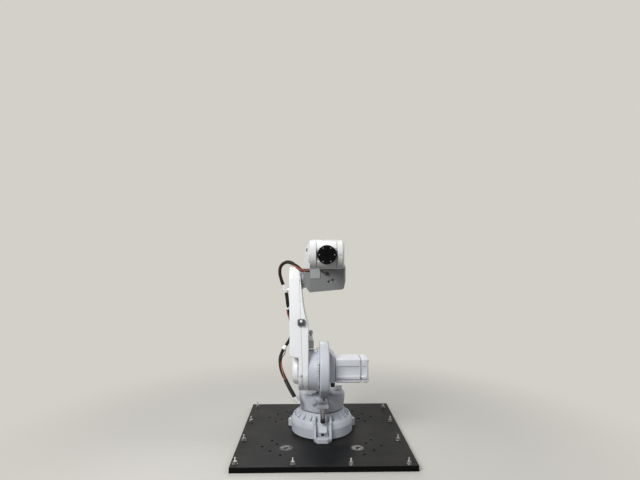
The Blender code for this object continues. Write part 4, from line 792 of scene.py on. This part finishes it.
CONNECTOR_CAP_PROFILE = ((0.0082, 0.0152), (0.0082, 0.0166), (0.0070, 0.0174), (0.002, 0.0176))
KNOB_RADIUS = 0.009
KNOB_RIBS = 18
KNOB_RIB_DEPTH = 0.0008
KNOB_SHARES = (0.8, 0.8, 1, 1, 0.92, 0.45)
KNOB_HEIGHTS = (0, 0.005, 0.006, 0.018, 0.0198, 0.020)

recast("elbow_housing", HOUSING_GREY, "elbow", "housing_paint")
recast("junction_plate", PLATE_GREY, "elbow", "housing_paint")
for node in ("forearm_housing", "gear_cover", *WRIST_MOTORS, "forearm_collar"):
    recast(node, FOREARM_WHITE, "elbow", "casting_paint")
plugs = [lathe(PLUG_PROFILE, SMALL_ROUND, FRONT) + (x, ELBOW_FACE, ELBOW[2] + z) for x, z in HOLE_PLACES]
skinned("elbow_hole_plugs", plugs, BLACK_PLASTIC, "elbow", "black_plastic")
cover_slot = rounded_box(COVER_SLOT_CENTRE, COVER_SLOT_SIZE, COVER_SLOT_EDGE)
skinned("gear_cover_slot", [cover_slot], BLACK_PLASTIC, "elbow", "black_plastic")
elbow_screws = corner_screws("junction_plate", FRONT, *JUNCTION_SCREWS)
for node in WRIST_MOTORS:
    elbow_screws += corner_screws(node, BACK, *WRIST_MOTOR_SCREWS)
skinned("elbow_screws", elbow_screws, ZINC, "elbow", "bright_steel")
connector = middle_of("front_connector", FRONT)
skinned("connector_shell", [lathe(CONNECTOR_PROFILE, CONNECTOR_ROUND, FRONT) + connector],
        BLACK_PLASTIC, "elbow", "black_plastic", "front_connector")
skinned("connector_cap", [lathe(CONNECTOR_CAP_PROFILE, MIDDLING_ROUND, FRONT) + connector],
        BLACK_PLASTIC, "elbow", "black_plastic")


def knurled(radius, count, depth):
    """Radius round the knob, at four points to a rib: it falls by a depth and rises again at each rib."""
    turn = np.linspace(0, 2 * np.pi, 4 * count, endpoint=False)
    return radius - depth * (1 + np.cos(turn * count)) / 2


knob_rows = np.outer(KNOB_SHARES, knurled(KNOB_RADIUS, KNOB_RIBS, KNOB_RIB_DEPTH))
skinned("front_knob_knurled", [spun(knob_rows, KNOB_HEIGHTS, FRONT) + middle_of("front_knob", FRONT)],
        BLACK_PLASTIC, "elbow", "black_plastic", "front_knob")


# Forearm: the tube turns in the collar and widens into the fork, whose cheeks have round bearing covers.
# The wrist housing tilts between the cheeks, and the blackened disc turns on its face.
FOREARM_Z = 1.3073
WRIST = np.array([0, -0.945, FOREARM_Z])
DISC_BACK = 0.067
DISC_FACE = 0.084
DISC_ROUND = 96
DISC_RING = 0.040
DISC_SCREWS = 6
DISC_SCREW = (0.0032, 0.0009)
COVER_RING = 0.036
COVER_SCREWS = 6
COVER_SCREW = (0.0030, 0.0025)
FORK_PLUG_PROFILE = ((0.0042, -0.001), (0.0042, 0.002), (0.0030, 0.003))
FORK_PLUG_PLACE = (0.069, -0.075, 0.002)

for node in ("forearm_tube", "wrist_cap_left", "wrist_cap_right"):
    recast(node, FOREARM_WHITE, "forearm", "casting_paint")
recast("wrist_housing", FOREARM_WHITE, "wrist", "casting_paint")
cover_screws = []
for node, axis, side in (("wrist_cap_left", LEFT, 0), ("wrist_cap_right", RIGHT, 1)):
    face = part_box(node)[side][0]
    for place in bolt_ring((face, *WRIST[1:]), axis, COVER_RING, COVER_SCREWS, np.pi / COVER_SCREWS):
        cover_screws.append(cap_screw(place, axis, *COVER_SCREW))
cover_screws.append(lathe(FORK_PLUG_PROFILE, SMALL_ROUND, FRONT) + WRIST + FORK_PLUG_PLACE)
skinned("fork_screws", cover_screws, ZINC, "forearm", "bright_steel")
DISC_STEEL = bright_steel("blackened_steel", (0.010, 0.010, 0.011, 1), 0.34)
disc_profile = [(0.0490, DISC_BACK), (0.0500, DISC_BACK + 0.001), (0.0500, DISC_FACE - 0.0012),
                (0.0488, DISC_FACE), (0.0205, DISC_FACE), (0.0200, DISC_FACE - 0.0005),
                (0.0200, DISC_FACE - 0.004), (0.0080, DISC_FACE - 0.004), (0.0076, DISC_FACE - 0.0044),
                (0.0076, DISC_FACE - 0.010)]
skinned("tool_disc", [lathe(disc_profile, DISC_ROUND, FRONT) + WRIST], DISC_STEEL, "tool_disc",
        "disc_steel", "turning_disc")
disc_face = WRIST + np.array(FRONT) * DISC_FACE
disc_screws = [cap_screw(p, FRONT, *DISC_SCREW) for p in bolt_ring(disc_face, FRONT, DISC_RING, DISC_SCREWS)]
skinned("tool_disc_screws", disc_screws, GROUND_STEEL, "tool_disc", "bright_steel")


# Dress pack: two braided black sleeves and an orange hose, laid together with a slow twist, and a thin cable.
# It runs from the column's gland, behind the lower arm and into the elbow, held by white ties and a wrap.
LOWER_ROUTE = (
    (-0.196, 0.000, -0.189), (-0.226, 0.000, -0.138), (-0.260, 0.012, -0.076), (-0.286, 0.028, -0.022),
    (-0.301, 0.050, 0.022), (-0.302, 0.076, 0.062), (-0.290, 0.104, 0.104), (-0.266, 0.134, 0.144),
    (-0.240, 0.156, 0.184), (-0.224, 0.166, 0.232), (-0.222, 0.166, 0.282), (-0.232, 0.154, 0.332),
    (-0.246, 0.126, 0.382),
)
UPPER_ROUTE = (
    (-0.251, 0.094, -0.193), (-0.254, 0.066, -0.138), (-0.261, 0.042, -0.088), (-0.274, 0.024, -0.048),
    (-0.291, 0.008, -0.006), (-0.302, -0.008, 0.036), (-0.303, -0.022, 0.072), (-0.294, -0.034, 0.102),
    (-0.273, -0.046, 0.122), (-0.246, -0.056, 0.130), (-0.218, -0.064, 0.123), (-0.190, -0.071, 0.107),
    (-0.168, -0.076, 0.089), (-0.151, -0.078, 0.075), (-0.142, -0.078, 0.0735),
)
TAIL_ROUTE = ((-0.125, -0.078, 0.0730), (-0.108, -0.080, 0.0728), (-0.0910, -0.080, 0.0728))
ROUTE = np.concatenate([np.array(LOWER_ROUTE) + SHOULDER, np.array(UPPER_ROUTE) + ELBOW,
                        np.array(TAIL_ROUTE) + ELBOW])
STATION_STEPS = 14
SPLIT_STATION = 9.5
TWIST_STATIONS = (0, 1.4, 2.2, 3, 4, 4.7, 5.6, 8, 9.5, 11, 12, 12.7, 13.4, 16, 18, 20.6, 22.5, 23.5, 24.4,
                  25.5, 27, 30)
TWIST_DEGREES = (30, 40, 85, 135, 175, 215, 268, 290, 360, 380, 370, 340, 275, 262, 318, 318, 252, 200, 135,
                 100, 92, 92)
TAPER_STATIONS = (0, 26, 27.5, 30)
TAPER_SHARES = (1, 1, 0.78, 0.76)
# Each strand's radius, how far its middle lies from the route, and its degrees round it.
STRANDS = {
    "orange_hose": (0.0056, 0.0074, 0),
    "broad_sleeve": (0.0067, 0.0064, 125),
    "narrow_sleeve": (0.0060, 0.0070, 236),
}
CABLE_RADIUS = 0.0028
CABLE_REACH = 0.01008
CABLE_TURN = 180
# The thin cable stands out in a bell-shaped loop: its station, its width in stations and its reach.
CABLE_LOOP = (5.9, 0.55, 0.012)
STRAND_FACETS = 20
CABLE_FACETS = 12
TUBE_ANGLE = 60
YARN_COLOUR = (0.006, 0.006, 0.006, 1)
YARN_WORN = (0.022, 0.017, 0.013, 1)
YARN_TRACER = (0.17, 0.13, 0.09, 1)
YARNS_ROUND = 14
YARNS_PER_METRE = 270


def smooth_route(points, steps):
    """Cubics through the points, the slope at each being half the chord between its neighbours. Stations
    count the points."""
    ends = np.concatenate([[2 * points[0] - points[1]], points, [2 * points[-1] - points[-2]]])
    a, b, c, d = (ends[i:len(ends) - 3 + i, None] for i in range(4))
    t = np.linspace(0, 1, steps, endpoint=False)[None, :, None]
    curve = 0.5 * (2 * b + (c - a) * t + (2 * a - 5 * b + 4 * c - d) * t ** 2
                   + (3 * b - a - 3 * c + d) * t ** 3)
    line = np.concatenate([curve.reshape(-1, 3), points[-1:]])
    return line, np.arange(len(line)) / steps


def across(line):
    """Two unit vectors square to a line at each point. The second is the way to the front less its part along
    the line, and the first is the cross product of that with the line's way."""
    way = np.gradient(line, axis=0)
    way /= np.linalg.norm(way, axis=1, keepdims=True)
    front = np.array([0, -1, 0]) - way * -way[:, 1:2]
    front /= np.linalg.norm(front, axis=1, keepdims=True)
    return np.cross(front, way), front


def strand_line(reach, degrees):
    """The middle of one strand: the route, plus a reach turned about it by some degrees at each station."""
    outer, front = across(route_line)
    angle = np.radians(degrees)[:, None]
    reach = reach * np.interp(stations, TAPER_STATIONS, TAPER_SHARES)
    return route_line + reach[:, None] * (np.cos(angle) * outer + np.sin(angle) * front)


def tube(name, line, radii, count):
    """A circle of each radius carried along a line. UV: once round, and metres along."""
    outer, front = across(line)
    turn = np.linspace(0, 2 * np.pi, count, endpoint=False)
    ring = np.cos(turn)[None, :, None] * outer[:, None] + np.sin(turn)[None, :, None] * front[:, None]
    grid = line[:, None] + np.asarray(radii)[:, None, None] * ring
    metres = np.concatenate([[0], np.cumsum(np.linalg.norm(np.diff(line, axis=0), axis=1))])
    mesh = bpy.data.meshes.new(name)
    mesh.from_pydata(grid.reshape(-1, 3), [], ring_faces(len(line), count))
    i, j = np.meshgrid(np.arange(len(line) - 1), np.arange(count), indexing="ij")
    u = np.stack([j, j + 1, j + 1, j], axis=-1) / count
    v = np.stack([metres[i], metres[i], metres[i + 1], metres[i + 1]], axis=-1)
    uv = np.concatenate([np.stack([u, v], axis=-1).reshape(-1, 2), np.zeros((2 * count, 2))])
    mesh.uv_layers.new(name="UVMap").data.foreach_set("uv", uv.ravel())
    return tidy(mesh, TUBE_ANGLE)


def braided_sleeve():
    """Black yarn braided both ways round, with a pale tracer on one in four of the yarns that run one way.
    The weave stands as high as the sine across one way times the sine across the other."""
    material, yarn, place = finish("braided_sleeve", IOR=1.35)
    uv = Wire(material.node_tree.nodes["Texture Coordinate"].outputs["UV"])
    round_about, along = uv.along("X") * YARNS_ROUND, uv.along("Y") * YARNS_PER_METRE
    one_way, other_way = round_about + along, round_about - along
    weave = ((one_way * math.pi).of("SINE") * (other_way * math.pi).of("SINE")).of("ABSOLUTE")
    tracer = (one_way * 0.25).of("FRACT").rise(0.80, 0.86)
    worn = place.noise(60, 3).rise(0.45, 0.75)
    base = worn.between(YARN_COLOUR, YARN_WORN)
    (tracer * weave.rise(0.1, 0.6) * 0.75).between(base, YARN_TRACER).into(yarn, "Base Color")
    (0.75 - weave * 0.25).into(yarn, "Roughness")
    weave.height(0.8, 0.0007).into(yarn, "Normal")
    return material


def hose_rubber(name, colour, rough):
    """Extruded rubber: cloudy noise dulls its colour and its gloss, over a fine grain."""
    material, rubber, place = finish(name, IOR=1.5)
    dull = place.noise(30, 4).rise(0.4, 0.75)
    dull.between(colour, toned(colour, 0.45)).into(rubber, "Base Color")
    (dull * 0.2 + rough).into(rubber, "Roughness")
    place.noise(500, 2).height(0.2, 0.0002).into(rubber, "Normal")
    return material


SLEEVE_YARN = braided_sleeve()
ORANGE_HOSE = hose_rubber("orange_hose_rubber", (0.36, 0.085, 0.042, 1), 0.28)
THIN_CABLE = hose_rubber("black_cable", (0.014, 0.014, 0.015, 1), 0.34)
route_line, stations = smooth_route(ROUTE, STATION_STEPS)
twist = np.interp(stations, TWIST_STATIONS, TWIST_DEGREES)
# Which stations fall in each half of the bundle; the halves meet at the split station.
HALVES = {"lower": stations <= SPLIT_STATION, "upper": stations >= SPLIT_STATION}
NO_HOSES = {"lower": (), "upper": ()}
PACKED_HOSES = {"lower": ("dress_hose",), "upper": ("dress_hose", "dress_hose_tail")}


def bent_tube(name, line, radii, facets, material, slot, half, *nodes):
    """A tube along a line, left where it is made; it does not bend at a joint."""
    thing = piece(name, tube(name, line, radii, facets), material, None, slot, *nodes)
    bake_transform(thing)


def strand(name, middle, radii, facets, material, packed=NO_HOSES):
    """Both halves of one strand, split where the rear clamp holds it."""
    for half, part in HALVES.items():
        bent_tube(f"{name}_{half}", middle[part], radii[part], facets, material, "hose_sleeve", half,
                  *packed[half])


for name, (radius, reach, degrees) in STRANDS.items():
    radii = radius * np.interp(stations, TAPER_STATIONS, TAPER_SHARES)
    strand(name, strand_line(reach, twist + degrees), radii, STRAND_FACETS,
           ORANGE_HOSE if name == "orange_hose" else SLEEVE_YARN,
           PACKED_HOSES if name == "broad_sleeve" else NO_HOSES)
loop_station, loop_width, loop_reach = CABLE_LOOP
loop = np.exp(-((stations - loop_station) / loop_width) ** 2)
cable_line = strand_line(CABLE_REACH + loop_reach * loop, np.full(len(stations), CABLE_TURN))
strand("thin_cable", cable_line, np.full(len(stations), CABLE_RADIUS), CABLE_FACETS, THIN_CABLE)


def along_route(first, last, steps):
    """Points of the route between two stations."""
    at = np.linspace(first, last, steps)
    return np.column_stack([np.interp(at, stations, route_line[:, i]) for i in range(3)])


BOOT_STATIONS = (0.02, 2.1)
BOOT_RADIUS = 0.0128
BOOT_RIB = 0.0018
BOOT_RIBS = 15
BOOT_RIB_ROWS = 6
BOOT_LIP = 0.002
boot_line = along_route(*BOOT_STATIONS, BOOT_RIBS * BOOT_RIB_ROWS + 1)
boot_radii = BOOT_RADIUS + BOOT_RIB * np.abs(np.sin(np.linspace(0, BOOT_RIBS * np.pi, len(boot_line))))
boot_radii[-1] = BOOT_RADIUS - BOOT_LIP
bent_tube("corrugated_boot", boot_line, boot_radii, MIDDLING_ROUND, BLACK_PLASTIC, "black_plastic", "lower")
# Each tie's half of the bundle, its station and half its width in stations.
TIES = {"white_tie_lower": ("lower", 6.60, 0.30), "white_tie_upper": ("upper", 12.75, 0.14)}
TIE_FACETS = 28
TIE_RADII = np.array([0.0128, 0.0146, 0.0149, 0.0149, 0.0146, 0.0128])
for name, (half, station, half_width) in TIES.items():
    line = along_route(station - half_width, station + half_width, len(TIE_RADII))
    bent_tube(name, line, TIE_RADII, TIE_FACETS, WHITE_PLASTIC, "white_plastic", half)
WRAP_STATIONS = (15.05, 16.38)
WRAP_RADIUS = 0.0146
WRAP_TURNS = 6
WRAP_TURN_ROWS = 8
WRAP_GROOVE = 0.0016
WRAP_GROOVE_SHARE = 0.38
WRAP_END = 0.003
wrap_line = along_route(*WRAP_STATIONS, WRAP_TURNS * WRAP_TURN_ROWS + 1)
wrap_turn = np.linspace(0, WRAP_TURNS, len(wrap_line))
wrap_radii = WRAP_RADIUS - WRAP_GROOVE * (np.abs(wrap_turn % 1 - 0.5) > WRAP_GROOVE_SHARE)
wrap_radii[[0, -1]] = WRAP_RADIUS - WRAP_END
bent_tube("white_hose_wrap", wrap_line, wrap_radii, MIDDLING_ROUND, WHITE_PLASTIC, "white_plastic", "upper")


# Floor and light: a plain pale floor that takes the plate's shadow and fades into a backdrop of its own
# colour. Four broad soft lamps light the arm: the strongest in front at the left, then one overhead, one at
# the right and one behind.
FLOOR_REACH = 30.0
FLOOR_NEAR = 0.75
FLOOR_FAR = 2.6
FLOOR_COLOUR = (0.53, 0.515, 0.475, 1)
FLOOR_BOUNCE = (0.18, 0.175, 0.17, 1)
BACKDROP = (0.650, 0.630, 0.580, 1)
SKY_COLOUR = (0.90, 0.94, 1.0, 1)
SKY_STRENGTH = 0.30
# Each lamp's place, the point it looks at, its side in metres and its power in watts.
LAMPS = {
    "key_lamp": ((-1.7, -2.4, 2.5), (0, -0.2, 0.9), 1.4, 96),
    "ceiling_lamp": ((0.2, 0.1, 3.2), (0, 0.1, 0.5), 2.0, 22),
    "side_lamp": ((2.2, -0.6, 2.4), (0, -0.2, 0.6), 1.2, 18),
    "back_lamp": ((-0.6, 2.6, 2.6), (0, 0, 0.8), 1.4, 28),
}


def seen(wire):
    """1 for a ray from the camera, from a gloss or through glass, and 0 for one that only carries light."""
    camera_ray = wire.add("LightPath", output="Is Camera Ray")
    others = [Wire(camera_ray.socket.node.outputs[f"Is {kind} Ray"]) for kind in ("Glossy", "Transmission")]
    return camera_ray + others[0] + others[1]


floor_material, floor_shader, floor_place = finish("studio_floor", Roughness=0.75)
mottled = floor_place.noise(3, 4).between(FLOOR_COLOUR, toned(FLOOR_COLOUR, 0.985))
seen(floor_place).between(FLOOR_BOUNCE, mottled).into(floor_shader, "Base Color")
backdrop = floor_place.add("Emission", (), {"Color": BACKDROP})
far = away_from(floor_place, (0, 0, 0)).rise(FLOOR_NEAR, FLOOR_FAR) * seen(floor_place)
floor_place.add("MixShader", (), {0: far, 1: Wire(floor_shader.outputs[0]), 2: backdrop}).into(
    floor_material.node_tree.nodes["Material Output"], "Surface")
corners = FLOOR_REACH * np.array([(-1, -1, 0), (1, -1, 0), (1, 1, 0), (-1, 1, 0)], float)
floor_mesh = bpy.data.meshes.new("studio_floor")
floor_mesh.from_pydata(corners, [], [(0, 1, 2, 3)])
floor_mesh.materials.append(floor_material)
floor = bpy.data.objects.new("studio_floor", floor_mesh)
bpy.context.collection.objects.link(floor)


def soft_lamp(name, place, target, size, power):
    """A square area lamp turned from its place to a target."""
    lamp = bpy.data.objects.new(name, bpy.data.lights.new(name, "AREA"))
    bpy.context.collection.objects.link(lamp)
    lamp.data.size = size
    lamp.data.energy = power
    lamp.location = place
    way = np.subtract(target, place)
    flat = math.hypot(way[0], way[1])
    lamp.rotation_euler = (math.pi / 2 + math.atan2(way[2], flat), 0, math.atan2(-way[0], way[1]))


for name, (place, target, size, power) in LAMPS.items():
    soft_lamp(name, place, target, size, power)
world = bpy.data.worlds.new("studio_air")
bpy.context.scene.world = world
world.use_nodes = True
sky = world.node_tree.nodes["Background"]
sky.inputs["Color"].default_value = SKY_COLOUR
sky.inputs["Strength"].default_value = SKY_STRENGTH
air = Wire(sky.outputs[0])
plain = air.add("Background", (), {"Color": BACKDROP, "Strength": 1.0})
air.add("MixShader", (), {0: seen(air), 1: air, 2: plain}).into(
    world.node_tree.nodes["World Output"], "Surface")
bpy.context.scene.view_settings.view_transform = "Standard"
